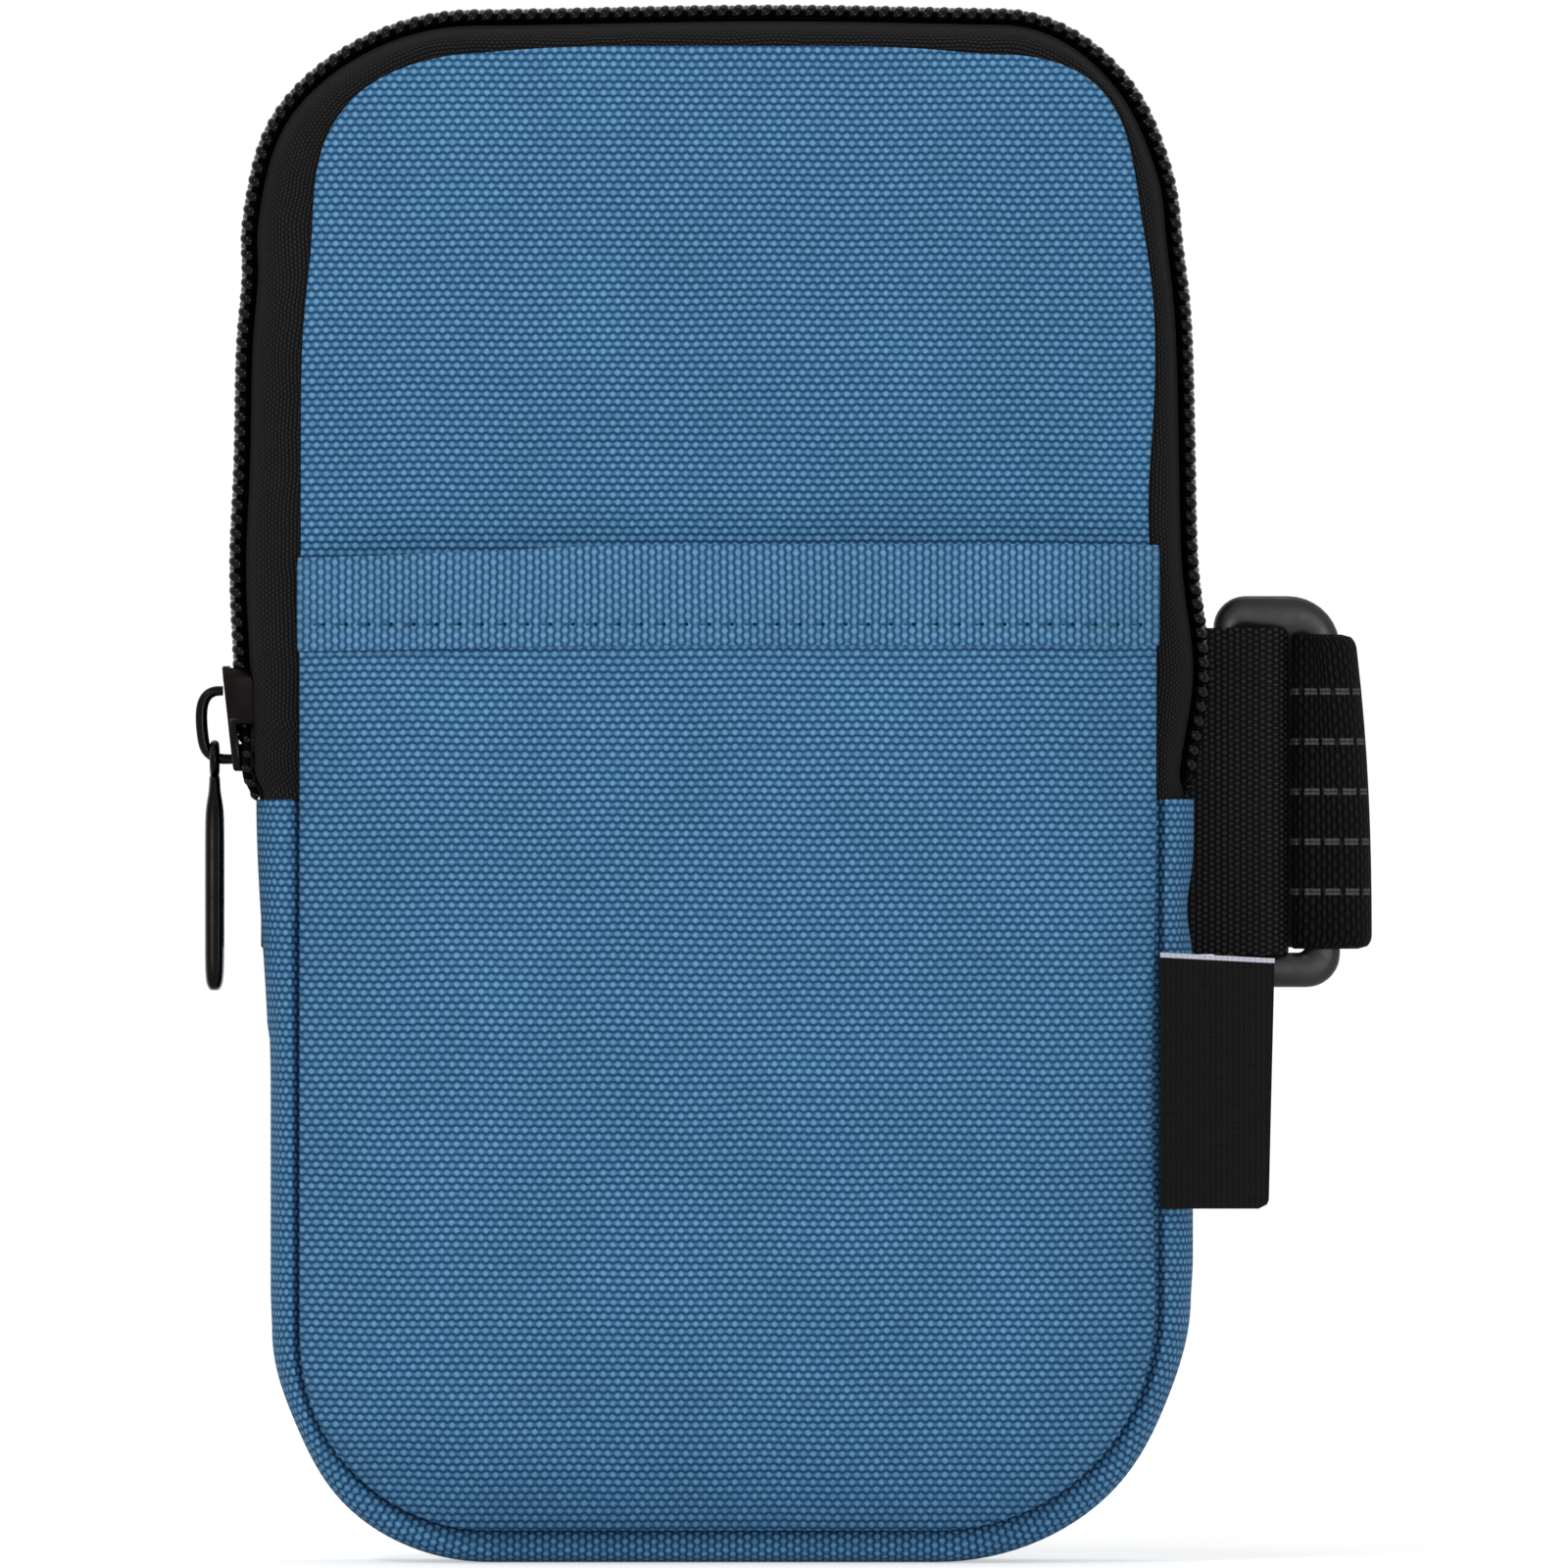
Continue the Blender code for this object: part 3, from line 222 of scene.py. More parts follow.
class PouchStudio(bpy.types.PropertyGroup):
    """Camera and light."""

    camera_x: length("Camera place", "Camera right of the centre line", 6.6)
    camera_z: length("Camera height", "Camera above the floor", 91.6)
    frame_width: length("Frame width", "Width of the picture at the pouch", 184.8)
    lens: FloatProperty(name="Lens", description="Focal length in millimetres", default=600.0)
    key: FloatProperty(name="Key light", description="Power of the upper left lamp", default=6.7)
    fill: FloatProperty(name="Fill light", description="Power of the low right lamp", default=8.8)
    top: FloatProperty(name="Top light", description="Power of the top lamp", default=2.5)
    world: FloatProperty(name="Room light", description="Strength of the even light", default=0.5)


def settings(name):
    """One group of the pouch's settings."""
    return getattr(bpy.context.scene, "pouch_" + name)


# Shapes shared by several pieces

def eased(share):
    """Smooth step from 0 to 1."""
    held = min(max(share, 0.0), 1.0)
    return held * held * (3 - 2 * held)


def hump(value, middle, spread):
    """Bell curve that is 1 at its middle."""
    return math.exp(-((value - middle) / spread) ** 2)


def arc(centre_x, centre_y, radius, start, stop, steps):
    """Points along an arc, with its angles in degrees."""
    turns = [math.radians(start + (stop - start) * step / steps) for step in range(steps + 1)]
    return [(centre_x + radius * math.cos(t), centre_y + radius * math.sin(t)) for t in turns]


def edge_at(z, side):
    """Panel edge at a height, before the shoulders draw it in."""
    body = settings("body")
    half, low, high = (
        (body.left, body.bottom_left, body.top_left) if side < 0
        else (body.right, body.bottom_right, body.top_right)
    )
    radius, beyond = 0.0, 0.0
    if z < body.bottom + low:
        radius, beyond = low, body.bottom + low - z
    if z > body.top - high:
        radius, beyond = high, z - body.top + high
    cut = radius - math.sqrt(max(radius ** 2 - beyond ** 2, 0.0))
    return side * (half - cut)


def shouldered(x, z):
    """Place across, drawn in at the shoulders."""
    body = settings("body")
    if x < 0:
        half, full, height = body.left, body.shoulder_left, body.shoulder_left_height
    else:
        half, full, height = body.right, body.shoulder_right, body.shoulder_right_height
    return x * (1 - full * hump(z, height, body.shoulder_spread) / half)


# Where the top edge droops, as place across and spread, and where the right edge draws in,
# as height, spread and share of the whole waist
DROOPS = ((-34.0 * MM, 10.0 * MM), (33.0 * MM, 9.0 * MM))
DROOP_FROM, DROOP_OVER = 155.0 * MM, 22.0 * MM
WAISTS = ((124.0 * MM, 10.0 * MM, 1.0), (55.0 * MM, 24.0 * MM, 0.65))
WAIST_FROM, WAIST_OVER = 20.0 * MM, 30.0 * MM


def drawn_in(x, z):
    """How far the right edge draws in above the pocket and beside the label."""
    inward = sum(share * hump(z, height, spread) for height, spread, share in WAISTS)
    return settings("body").waist * inward * eased((x - WAIST_FROM) / WAIST_OVER)


def settled(x, z):
    """Place on a panel with its top corners drooping and its right edge drawn in."""
    body = settings("body")
    dip = sum(hump(x, place, spread) for place, spread in DROOPS)
    lower = body.droop * dip * eased((z - DROOP_FROM) / DROOP_OVER)
    return shouldered(x, z) - drawn_in(x, z), z - lower


def rim_distance(x, z):
    """How far a point of a panel lies inside its edge."""
    body = settings("body")
    for half, low, high in (
        (-body.left, body.bottom_left, body.top_left),
        (body.right, body.bottom_right, body.top_right),
    ):
        side = 1 if half > 0 else -1
        for radius, beyond_z in ((low, body.bottom + low - z), (high, z - body.top + high)):
            beyond_x = side * x - (abs(half) - radius)
            if beyond_x > 0 and beyond_z > 0:
                return radius - math.hypot(beyond_x, beyond_z)
    return min(x + body.left, body.right - x, z - body.bottom, body.top - z)


def rounding(inset, reach):
    """Share of a full height at a distance inside the edge."""
    return 1 - (1 - min(max(inset, 0.0), reach) / reach) ** 2


def rolled(inset, radius):
    """How far a rolled edge turns back at a distance inside the edge."""
    share = min(max(1 - inset / radius, 0.0), 1.0)
    return radius * (1 - math.sqrt(1 - share ** 2))


def relief(x, z, marks):
    """Height of the soft swells and dents that a list of marks gives in millimetres."""
    total = 0.0
    for mark_x, mark_z, spread_x, spread_z, height in marks:
        total += height * hump(x / MM, mark_x, spread_x) * hump(z / MM, mark_z, spread_z)
    return total * MM


def piece(name, mesh, body, nodes, finishes, levels=0, smooth=40.0):
    """Turn a bmesh into a finished piece that rides on a body and stands for CAD nodes."""
    data = bpy.data.meshes.new(name)
    mesh.to_mesh(data)
    mesh.free()
    data.shade_smooth()
    data.set_sharp_from_angle(angle=math.radians(smooth))
    for finish in finishes:
        data.materials.append(finish)
    made = bpy.data.objects.new(name, data)
    bpy.context.scene.collection.objects.link(made)
    if levels:
        surface = made.modifiers.new("smoothing", "SUBSURF")
        surface.levels = levels
        surface.render_levels = levels
    if body:
        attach(made, body)
    if nodes:
        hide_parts(*nodes)
    return made


def grid_mesh(columns, rows, place):
    """Grid of faces whose points stand where place(column, row) says."""
    mesh = bmesh.new()
    bmesh.ops.create_grid(mesh, x_segments=columns, y_segments=rows, size=1.0)
    for vert in mesh.verts:
        column = round((vert.co.x + 1) / 2 * columns)
        row = round((vert.co.y + 1) / 2 * rows)
        vert.co = place(column, row)
    return mesh


def second_side(mesh):
    """Extrude an open sheet into a closed cloth; return the points and faces of its new side."""
    made = bmesh.ops.extrude_face_region(mesh, geom=mesh.faces[:])["geom"]
    kinds = (bmesh.types.BMVert, bmesh.types.BMFace)
    return [[item for item in made if isinstance(item, kind)] for kind in kinds]


def loft(rings, marks=None, across=None, closed=False):
    """Extrude a section from ring to ring and note the place along and across on its points."""
    mesh = bmesh.new()
    along_layer = mesh.verts.layers.float.new("along")
    across_layer = mesh.verts.layers.float.new("across")
    face = mesh.faces.new([mesh.verts.new(point) for point in rings[0]])
    count = len(rings[0])
    grown = [list(face.verts)]
    for index, ring in enumerate(rings[1:]):
        last = face
        made = bmesh.ops.extrude_face_region(mesh, geom=[last])["geom"]
        face = next(item for item in made if isinstance(item, bmesh.types.BMFace))
        if index or closed:
            bmesh.ops.delete(mesh, geom=[last], context="FACES_ONLY")
        for vert, point in zip(face.verts, ring):
            vert.co = point
        grown.append(list(face.verts))
    if closed:
        bmesh.ops.delete(mesh, geom=[face], context="FACES_ONLY")
    for index, verts in enumerate(grown):
        run = 0.0
        for number in range(count):
            if number:
                run += (verts[number].co - verts[number - 1].co).length
            verts[number][along_layer] = marks[index] if marks else 0.0
            verts[number][across_layer] = across[number] if across else run
    bmesh.ops.recalc_face_normals(mesh, faces=mesh.faces)
    return mesh, grown


def path_marks(points):
    """Length of a line up to each of its points."""
    marks = [0.0]
    for before, after in zip(points, points[1:]):
        marks.append(marks[-1] + (Vector(after) - Vector(before)).length)
    return marks


def moved_line(line, distance):
    """Copy of an open line at an even distance on its left."""
    moved = []
    for index, point in enumerate(line):
        normals = []
        for first, second in ((index - 1, index), (index, index + 1)):
            if first >= 0 and second < len(line):
                run = Vector(line[second]) - Vector(line[first])
                normals.append(Vector((-run.y, run.x)).normalized())
        middle = sum(normals, Vector((0.0, 0.0))).normalized()
        reach = distance / middle.dot(normals[0])
        moved.append(Vector(point) + middle * reach)
    return moved


def wire_mesh(lines, radius, sides=6, closed=False):
    """Round wires along lines of points, as one bmesh."""
    curve = bpy.data.curves.new("wire", "CURVE")
    curve.dimensions = "3D"
    curve.bevel_depth = radius
    curve.bevel_resolution = max((sides - 4) // 2, 0)
    curve.use_fill_caps = True
    for line in lines:
        spline = curve.splines.new("POLY")
        spline.use_cyclic_u = closed
        spline.points.add(len(line) - 1)
        for point, place in zip(spline.points, line):
            point.co = (*place[:3], 1.0)
            if len(place) > 3:
                point.radius = place[3]
    holder = bpy.data.objects.new("wire", curve)
    bpy.context.scene.collection.objects.link(holder)
    graph = bpy.context.evaluated_depsgraph_get()
    data = bpy.data.meshes.new_from_object(holder.evaluated_get(graph))
    mesh = bmesh.new()
    mesh.from_mesh(data)
    bpy.data.objects.remove(holder)
    bpy.data.curves.remove(curve)
    bpy.data.meshes.remove(data)
    return mesh


# Frames that the cloth simulation runs
BLOW_FRAMES = 20


def blown(place, columns, rows, pressure, limit):
    """Blow up a sheet that is pinned round its edge; return how far it moves at each share."""
    mesh = grid_mesh(columns, rows, lambda i, j: place(i / columns, j / rows))
    mesh.verts.ensure_lookup_table()
    edge = [vert.index for vert in mesh.verts if vert.is_boundary]
    data = bpy.data.meshes.new("blown")
    mesh.to_mesh(data)
    mesh.free()
    sheet = bpy.data.objects.new("blown", data)
    scene = bpy.context.scene
    scene.collection.objects.link(sheet)
    pins = sheet.vertex_groups.new(name="pins")
    pins.add(edge, 1.0, "REPLACE")
    cloth = sheet.modifiers.new("cloth", "CLOTH")
    cloth.settings.quality = 8
    cloth.settings.mass = 0.3
    cloth.settings.bending_stiffness = 0.4
    cloth.settings.vertex_group_mass = "pins"
    cloth.settings.use_pressure = True
    cloth.settings.uniform_pressure_force = pressure
    cloth.settings.effector_weights.gravity = 0.0
    cloth.point_cache.frame_end = BLOW_FRAMES
    start = [vert.co.copy() for vert in data.vertices]
    for number in range(1, BLOW_FRAMES + 1):
        scene.frame_set(number)
    graph = bpy.context.evaluated_depsgraph_get()
    done = sheet.evaluated_get(graph).data
    moves = [vert.co - first for vert, first in zip(done.vertices, start)]
    furthest = max(move.length for move in moves)
    if furthest > limit:
        moves = [move * (limit / furthest) for move in moves]
    scene.frame_set(1)
    bpy.data.objects.remove(sheet)
    bpy.data.meshes.remove(data)

    def moved(across, up):
        column = min(max(across, 0.0), 1.0) * columns
        row = min(max(up, 0.0), 1.0) * rows
        i, j = min(int(column), columns - 1), min(int(row), rows - 1)
        left, low = column - i, row - j
        corners = [moves[(j + b) * (columns + 1) + i + a] for b in (0, 1) for a in (0, 1)]
        lower = corners[0].lerp(corners[1], left)
        upper = corners[2].lerp(corners[3], left)
        return lower.lerp(upper, low)

    return moved


# Materials

class Wiring:
    """Adds and joins the nodes of one tree."""

    def __init__(self, tree):
        self.tree = tree

    def feed(self, socket, source):
        """Join a socket to a source, or set it."""
        if isinstance(source, bpy.types.NodeSocket):
            self.tree.links.new(source, socket)
        elif source is not None:
            socket.default_value = source

    def node(self, kind, *sources, **options):
        """New node with its options and sources set."""
        made = self.tree.nodes.new(kind)
        for option, value in options.items():
            setattr(made, option, value)
        for socket, source in zip(made.inputs, sources):
            self.feed(socket, source)
        return made

    def math(self, operation, *values):
        """Result of a sum."""
        return self.node("ShaderNodeMath", *values, operation=operation).outputs[0]

    def ranged(self, value, *ends, **options):
        """Value carried from one range, low and high, over to another."""
        return self.node("ShaderNodeMapRange", value, *ends, **options).outputs[0]

    def mix(self, share, first, second, blend="MIX"):
        """Mixture of two colours."""
        made = self.node("ShaderNodeMix", share, data_type="RGBA", blend_type=blend)
        self.feed(made.inputs[6], first)
        self.feed(made.inputs[7], second)
        return made.outputs[2]

    def noise(self, vector, scale, detail, **options):
        """Noise texture."""
        made = self.node("ShaderNodeTexNoise", vector, **options)
        self.feed(made.inputs["Scale"], scale)
        made.inputs["Detail"].default_value = detail
        return made

    def joined(self, across, up):
        """Vector of two values."""
        return self.node("ShaderNodeCombineXYZ", across, up, 0.0).outputs[0]

    def group(self, tree, **values):
        """Place of a shared effect, fed by socket name."""
        made = self.node("ShaderNodeGroup", node_tree=tree)
        for name, value in values.items():
            self.feed(made.inputs[name], value)
        return made


def shared_effect(name, inputs, outputs):
    """Make the function below it build the effect's tree once, with these sockets and kinds."""
    def wrapped(wire_up):
        def tree():
            if name not in bpy.data.node_groups:
                group = bpy.data.node_groups.new(name, "ShaderNodeTree")
                for way, sockets in (("INPUT", inputs), ("OUTPUT", outputs)):
                    for label, kind in sockets.items():
                        kind = "NodeSocket" + kind
                        group.interface.new_socket(label, in_out=way, socket_type=kind)
                net = Wiring(group)
                given = net.node("NodeGroupInput").outputs
                wire_up(net, given, net.node("NodeGroupOutput").inputs)
            return bpy.data.node_groups[name]
        return tree
    return wrapped


@shared_effect(
    "plain_weave",
    {"Vector": "Vector", "Light": "Color", "Dark": "Color", "Wander": "Float", "Under": "Float"},
    {"Color": "Color", "Height": "Float"},
)
def weave_effect(net, given, result):
    """Plain weave: threads over and under each other, one thread to a unit, with painted shade
    between the threads and a painted highlight on each bead.
    """
    m = net.math
    place = net.node("ShaderNodeSeparateXYZ", given["Vector"])
    slow = net.noise(given["Vector"], 0.035, 2.0, noise_dimensions="2D")
    fast = net.noise(given["Vector"], 0.55, 2.0, noise_dimensions="2D")
    shift = net.node("ShaderNodeSeparateColor", slow.outputs["Color"])
    jolt = net.node("ShaderNodeSeparateColor", fast.outputs["Color"])

    def strayed(k):
        far = m("MULTIPLY", m("SUBTRACT", shift.outputs[k], 0.5), given["Wander"])
        near = m("MULTIPLY_ADD", m("SUBTRACT", jolt.outputs[k], 0.5), 0.16, far)
        return m("ADD", place.outputs[k], near)

    across, up = strayed(0), strayed(1)
    column, row = m("FLOOR", across), m("FLOOR", up)
    a = m("SUBTRACT", m("SUBTRACT", across, column), 0.5)
    b = m("SUBTRACT", m("SUBTRACT", up, row), 0.5)
    turn = m("FLOORED_MODULO", m("ADD", column, row), 2.0)
    wave = m("COSINE", m("MULTIPLY", a, math.pi))
    crown = m("MULTIPLY", m("MULTIPLY_ADD", turn, -2.0, 1.0), wave)
    limit = m("MULTIPLY_ADD", crown, 0.1, 0.5)
    off = m("ABSOLUTE", b)
    beyond = m("GREATER_THAN", off, limit)
    near = m("DIVIDE", off, limit)
    far = m("DIVIDE", m("SUBTRACT", 1.0, off), m("SUBTRACT", 1.0, limit))
    edge = m("MULTIPLY_ADD", beyond, m("SUBTRACT", far, near), near)
    crown = m("MULTIPLY", crown, m("MULTIPLY_ADD", beyond, -2.0, 1.0))
    held = m("MINIMUM", m("MAXIMUM", crown, -0.9999), 0.9999)
    along = m("DIVIDE", m("ARCCOSINE", held), math.pi)
    own = m("GREATER_THAN", crown, 0.0)
    bead_column = m("MULTIPLY_ADD", m("SUBTRACT", 1.0, own), m("SIGN", a), column)
    bead_row = m("MULTIPLY_ADD", beyond, m("SIGN", b), row)
    bead_place = net.joined(bead_column, bead_row)
    chance = net.node("ShaderNodeTexWhiteNoise", bead_place, noise_dimensions="2D").outputs[0]
    stretched = m("POWER", m("MULTIPLY", along, 1 / 0.88), 2.0)
    reach = m("SQRT", m("ADD", stretched, m("MULTIPLY", edge, edge)))

    def falling(value, high, low, top):
        return net.ranged(value, high, low, 0.0, top, interpolation_type="SMOOTHSTEP")

    bead = m("MULTIPLY", falling(reach, 1.0, 0.36, 0.82), m("MULTIPLY_ADD", chance, 0.44, 0.73))
    thread = falling(edge, 1.0, 0.25, given["Under"])
    # The thread level feeds the bump and also sets the colour from the dark colour to the light
    # one: painted shade in the gaps and on the threads' sides, painted light on their tops.
    level = m("MULTIPLY_ADD", m("SUBTRACT", 1.0, thread), bead, thread)
    fibre = net.noise(given["Vector"], 3.4, 3.0, noise_dimensions="2D")
    uneven = m("MULTIPLY_ADD", fibre.outputs[0], 0.6, 0.7)
    # Painted highlight: a lighter spot on the middle of each bead, added to the colour with random
    # strength.
    painted_highlight = m("MULTIPLY", falling(reach, 0.45, 0.0, 0.35), m("MULTIPLY_ADD", chance, 1.3, 0.2))
    share = m("MULTIPLY_ADD", level, uneven, painted_highlight)
    # Colour: the threads' own colour with the painted shade and painted highlight laid over it.
    net.feed(result["Color"], net.mix(share, given["Dark"], given["Light"]))
    net.feed(result["Height"], m("MULTIPLY", level, uneven))


@shared_effect(
    "chevron_ribs",
    {"Vector": "Vector", "Light": "Color", "Dark": "Color", "Slant": "Float"},
    {"Color": "Color", "Height": "Float"},
)
def chevron_effect(net, given, result):
    """Slanting ribs that turn at every unit across; one rib to a unit up."""
    m = net.math
    place = net.node("ShaderNodeSeparateXYZ", given["Vector"])
    fine = net.noise(given["Vector"], 2.1, 3.0, noise_dimensions="2D")
    zigzag = m("MULTIPLY", m("PINGPONG", place.outputs[0], 1.0), given["Slant"])
    bent = m("ADD", place.outputs[1], zigzag)
    bent = m("MULTIPLY_ADD", m("SUBTRACT", fine.outputs[0], 0.5), 0.9, bent)
    rib = m("MULTIPLY_ADD", m("SINE", m("MULTIPLY", bent, 2 * math.pi)), 0.5, 0.5)
    thread = m("SINE", m("MULTIPLY", place.outputs[0], 6.0 * math.pi))
    level = m("MULTIPLY_ADD", m("ABSOLUTE", thread), 0.3, m("MULTIPLY", rib, 0.7))
    rough = m("MULTIPLY", level, m("MULTIPLY_ADD", fine.outputs[0], 1.1, 0.35))
    net.feed(result["Color"], net.mix(rough, given["Dark"], given["Light"]))
    net.feed(result["Height"], rough)


@shared_effect("dash_rows", {"Vector": "Vector"}, {"Mask": "Float"})
def dash_effect(net, given, result):
    """Five rows of dashes about the middle, one row to a unit up and one dash to a unit across."""
    m = net.math
    place = net.node("ShaderNodeSeparateXYZ", given["Vector"])
    off = m("ABSOLUTE", m("SUBTRACT", m("FRACT", m("ADD", place.outputs[1], 100.5)), 0.5))
    on_line = net.ranged(off, 0.055, 0.07, 1.0, 0.0)
    inside = m("LESS_THAN", m("ABSOLUTE", place.outputs[1]), 2.5)
    beat = m("ABSOLUTE", m("SUBTRACT", m("FRACT", place.outputs[0]), 0.5))
    dash = net.ranged(beat, 0.34, 0.4, 1.0, 0.0)
    split = net.ranged(off, 0.005, 0.02, 0.3, 1.0)
    line = m("MULTIPLY", on_line, inside)
    net.feed(result["Mask"], m("MULTIPLY", line, m("MULTIPLY", dash, split)))


@shared_effect("uneven_tone", {"Vector": "Vector", "Scale": "Float"}, {"Tone": "Float"})
def tone_effect(net, given, result):
    """Soft uneven tone over a surface, from 0 to 1."""
    net.feed(result["Tone"], net.noise(given["Vector"], given["Scale"], 4.0).outputs[0])


def new_finish(name, roughness, specular=0.5, metallic=0.0, sheen=0.0, coat=0.0):
    """New material with its shader's values; returns material, wiring, shader, coordinates."""
    material = bpy.data.materials.new(name)
    material.use_nodes = True
    net = Wiring(material.node_tree)
    shader = material.node_tree.nodes["Principled BSDF"]
    shader.inputs["Roughness"].default_value = roughness
    shader.inputs["Specular IOR Level"].default_value = specular
    shader.inputs["Metallic"].default_value = metallic
    shader.inputs["Sheen Weight"].default_value = sheen
    shader.inputs["Sheen Roughness"].default_value = 0.6
    shader.inputs["Coat Weight"].default_value = coat
    return material, net, shader, net.node("ShaderNodeTexCoord").outputs["Object"]


def cloth_vector(net, source, across, up, swap=False, turn=0.0):
    """Place on a cloth in threads, from the front view or from the piece's own marks."""
    if source == "front":
        spot = net.node("ShaderNodeSeparateXYZ", net.node("ShaderNodeTexCoord").outputs["Object"])
        pair = [spot.outputs[0], spot.outputs[2]]
    else:
        pair = [net.node("ShaderNodeAttribute", attribute_name=key).outputs["Fac"]
                for key in ("along", "across")]
    if swap:
        pair.reverse()
    mapping = net.node("ShaderNodeMapping", net.joined(*pair))
    mapping.inputs["Rotation"].default_value = (0.0, 0.0, turn)
    mapping.inputs["Scale"].default_value = (1 / across, 1 / up, 1.0)
    return mapping.outputs[0]


def toned(net, coordinates, base, scale, low, high):
    """Colour darkened and lightened by the uneven tone."""
    tone = net.group(tone_effect(), Vector=coordinates, Scale=scale).outputs[0]
    span = net.ranged(tone, 0.3, 0.7, low, high)
    grey = net.node("ShaderNodeCombineColor", span, span, span).outputs[0]
    return net.mix(1.0, base, grey, "MULTIPLY")


def bump(net, shader, height, distance):
    """Feed a height into a shader's normal."""
    made = net.node("ShaderNodeBump")
    made.inputs["Strength"].default_value = 1.0
    made.inputs["Distance"].default_value = distance
    net.feed(made.inputs["Height"], height)
    net.feed(shader.inputs["Normal"], made.outputs[0])


def woven_finish(name, source, across, up, light, dark, depth, swap=False, wander=0.5, under=0.3,
                 roughness=0.8, specular=0.12, sheen=0.0, turn=0.0):
    """Plain-woven cloth."""
    material, net, shader, spot = new_finish(name, roughness, specular, sheen=sheen)
    vector = cloth_vector(net, source, across, up, swap, turn)
    weave = net.group(
        weave_effect(), Vector=vector, Light=light, Dark=dark, Wander=wander, Under=under,
    )
    net.feed(shader.inputs["Base Color"], toned(net, spot, weave.outputs[0], 55.0, 0.93, 1.07))
    bump(net, shader, weave.outputs[1], depth)
    return material


def ribbed_finish(name, source, across, up, light, dark, depth, slant=1.5, swap=False,
                  roughness=0.85, specular=0.15):
    """Cloth with chevron or slanting ribs."""
    material, net, shader, spot = new_finish(name, roughness, specular, sheen=0.05)
    vector = cloth_vector(net, source, across, up, swap)
    ribs = net.group(chevron_effect(), Vector=vector, Light=light, Dark=dark, Slant=slant)
    net.feed(shader.inputs["Base Color"], toned(net, spot, ribs.outputs[0], 80.0, 0.9, 1.1))
    bump(net, shader, ribs.outputs[1], depth)
    return material


def smooth_finish(name, levels, roughness, specular=0.5, metallic=0.0, coat=0.0, grain=0.00002,
                  scale=900.0):
    """Moulded plastic, wire or polished metal with fine unevenness."""
    material, net, shader, spot = new_finish(name, roughness, specular, metallic, coat=coat)
    base = [linear(level) for level in levels] + [1.0]
    net.feed(shader.inputs["Base Color"], toned(net, spot, base, 300.0, 0.85, 1.15))
    tone = net.group(tone_effect(), Vector=spot, Scale=scale).outputs[0]
    low, high = roughness * 0.8, min(roughness * 1.25, 1.0)
    net.feed(shader.inputs["Roughness"], net.ranged(tone, 0.3, 0.7, low, high))
    bump(net, shader, tone, grain)
    return material


def blue_cloth(name, source="front", swap=False, band=False):
    """The pouch's blue cloth."""
    cloth = settings("cloth")
    light, dark = (
        (cloth.band_light, cloth.band_dark) if band else (cloth.cloth_light, cloth.cloth_dark)
    )
    return woven_finish(
        name, source, cloth.warp, cloth.weft, light, dark, 0.22 * MM, swap=swap, roughness=0.78,
        under=0.4 if band else 0.3,
    )


def lining_cloth(name):
    """Smooth dark lining."""
    cloth = settings("cloth")
    # Darker copy of the lining colour: painted shade between its threads.
    dark = [0.45 * value for value in cloth.lining[:3]] + [1.0]
    return woven_finish(
        name, "front", 0.3 * MM, 0.3 * MM, cloth.lining, dark, 0.05 * MM, roughness=0.6,
    )


# Padded panels

# Distances in from a cloth's edge in millimetres, steps between them, turns of its corners in
# degrees, and the width over which swells and dents die out beside its edge
PAD_INSETS = (0.0, 0.15, 0.5, 1.0, 1.8, 3.0, 5.0, 8.0, 12.0, 17.0)
PAD_MIDDLE = 18
MARK_FADE = 12.0 * MM
CORNER_TURNS = (0.0, 5.0, 10.0, 16.0, 23.0, 30.0, 38.0, 46.0, 54.0, 62.0, 71.0, 80.0, 90.0)
# Soft swells and dents in millimetres: place across, height, spread across, spread up, rise
FRONT_MARKS = (
    (4.0, 150.0, 20.0, 12.0, -0.35), (-36.0, 142.0, 16.0, 12.0, 0.35),
    (0.0, 119.0, 60.0, 9.0, 1.3), (-30.0, 125.0, 12.0, 4.0, -0.45),
    (36.0, 126.0, 12.0, 5.0, -0.35), (-2.0, 127.0, 6.0, 5.0, -0.3),
    (12.0, 139.0, 14.0, 9.0, 0.3), (38.0, 150.0, 12.0, 16.0, 0.25),
)
BACK_MARKS = (
    (10.0, 60.0, 30.0, 22.0, 0.35), (-22.0, 130.0, 24.0, 20.0, 0.3),
    (24.0, 142.0, 18.0, 16.0, -0.3), (-30.0, 90.0, 10.0, 22.0, -0.4),
    (34.0, 91.0, 9.0, 22.0, -0.4), (-5.0, 30.0, 24.0, 10.0, -0.25),
)


def cloth_heights(low, high, low_radius, high_radius, spacing=3.0 * MM):
    """Heights of a cloth's rows, close together at rounded ends."""
    rows = [low + low_radius * (1 - math.cos(math.radians(t))) for t in CORNER_TURNS]
    last = high - high_radius
    steps = max(round((last - rows[-1]) / spacing), 1)
    start = rows[-1]
    rows += [start + (last - start) * step / steps for step in range(1, steps + 1)]
    if high_radius:
        rows += [last + high_radius * math.sin(math.radians(90 - t)) for t in CORNER_TURNS[-2::-1]]
    return rows


def cloth_columns(z, grow=0.0):
    """Places across a cloth at one height, close together at its edges."""
    left, right = edge_at(z, -1) - grow, edge_at(z, 1) + grow
    near = [left + inset * MM for inset in PAD_INSETS]
    far = [right - inset * MM for inset in reversed(PAD_INSETS)]
    steps = [near[-1] + (far[0] - near[-1]) * k / PAD_MIDDLE for k in range(1, PAD_MIDDLE)]
    return near + steps + far


def panel_depth(x, z, marks, fullness=1.0):
    """Outer face of a padded panel, before the shoulders draw it in."""
    body = settings("body")
    inset = rim_distance(x, z)
    crown = body.crown * fullness * rounding(inset, body.crown_reach)
    soft = relief(x, z, marks) * rounding(inset, MARK_FADE)
    return body.face + crown + soft - rolled(inset, body.roll)


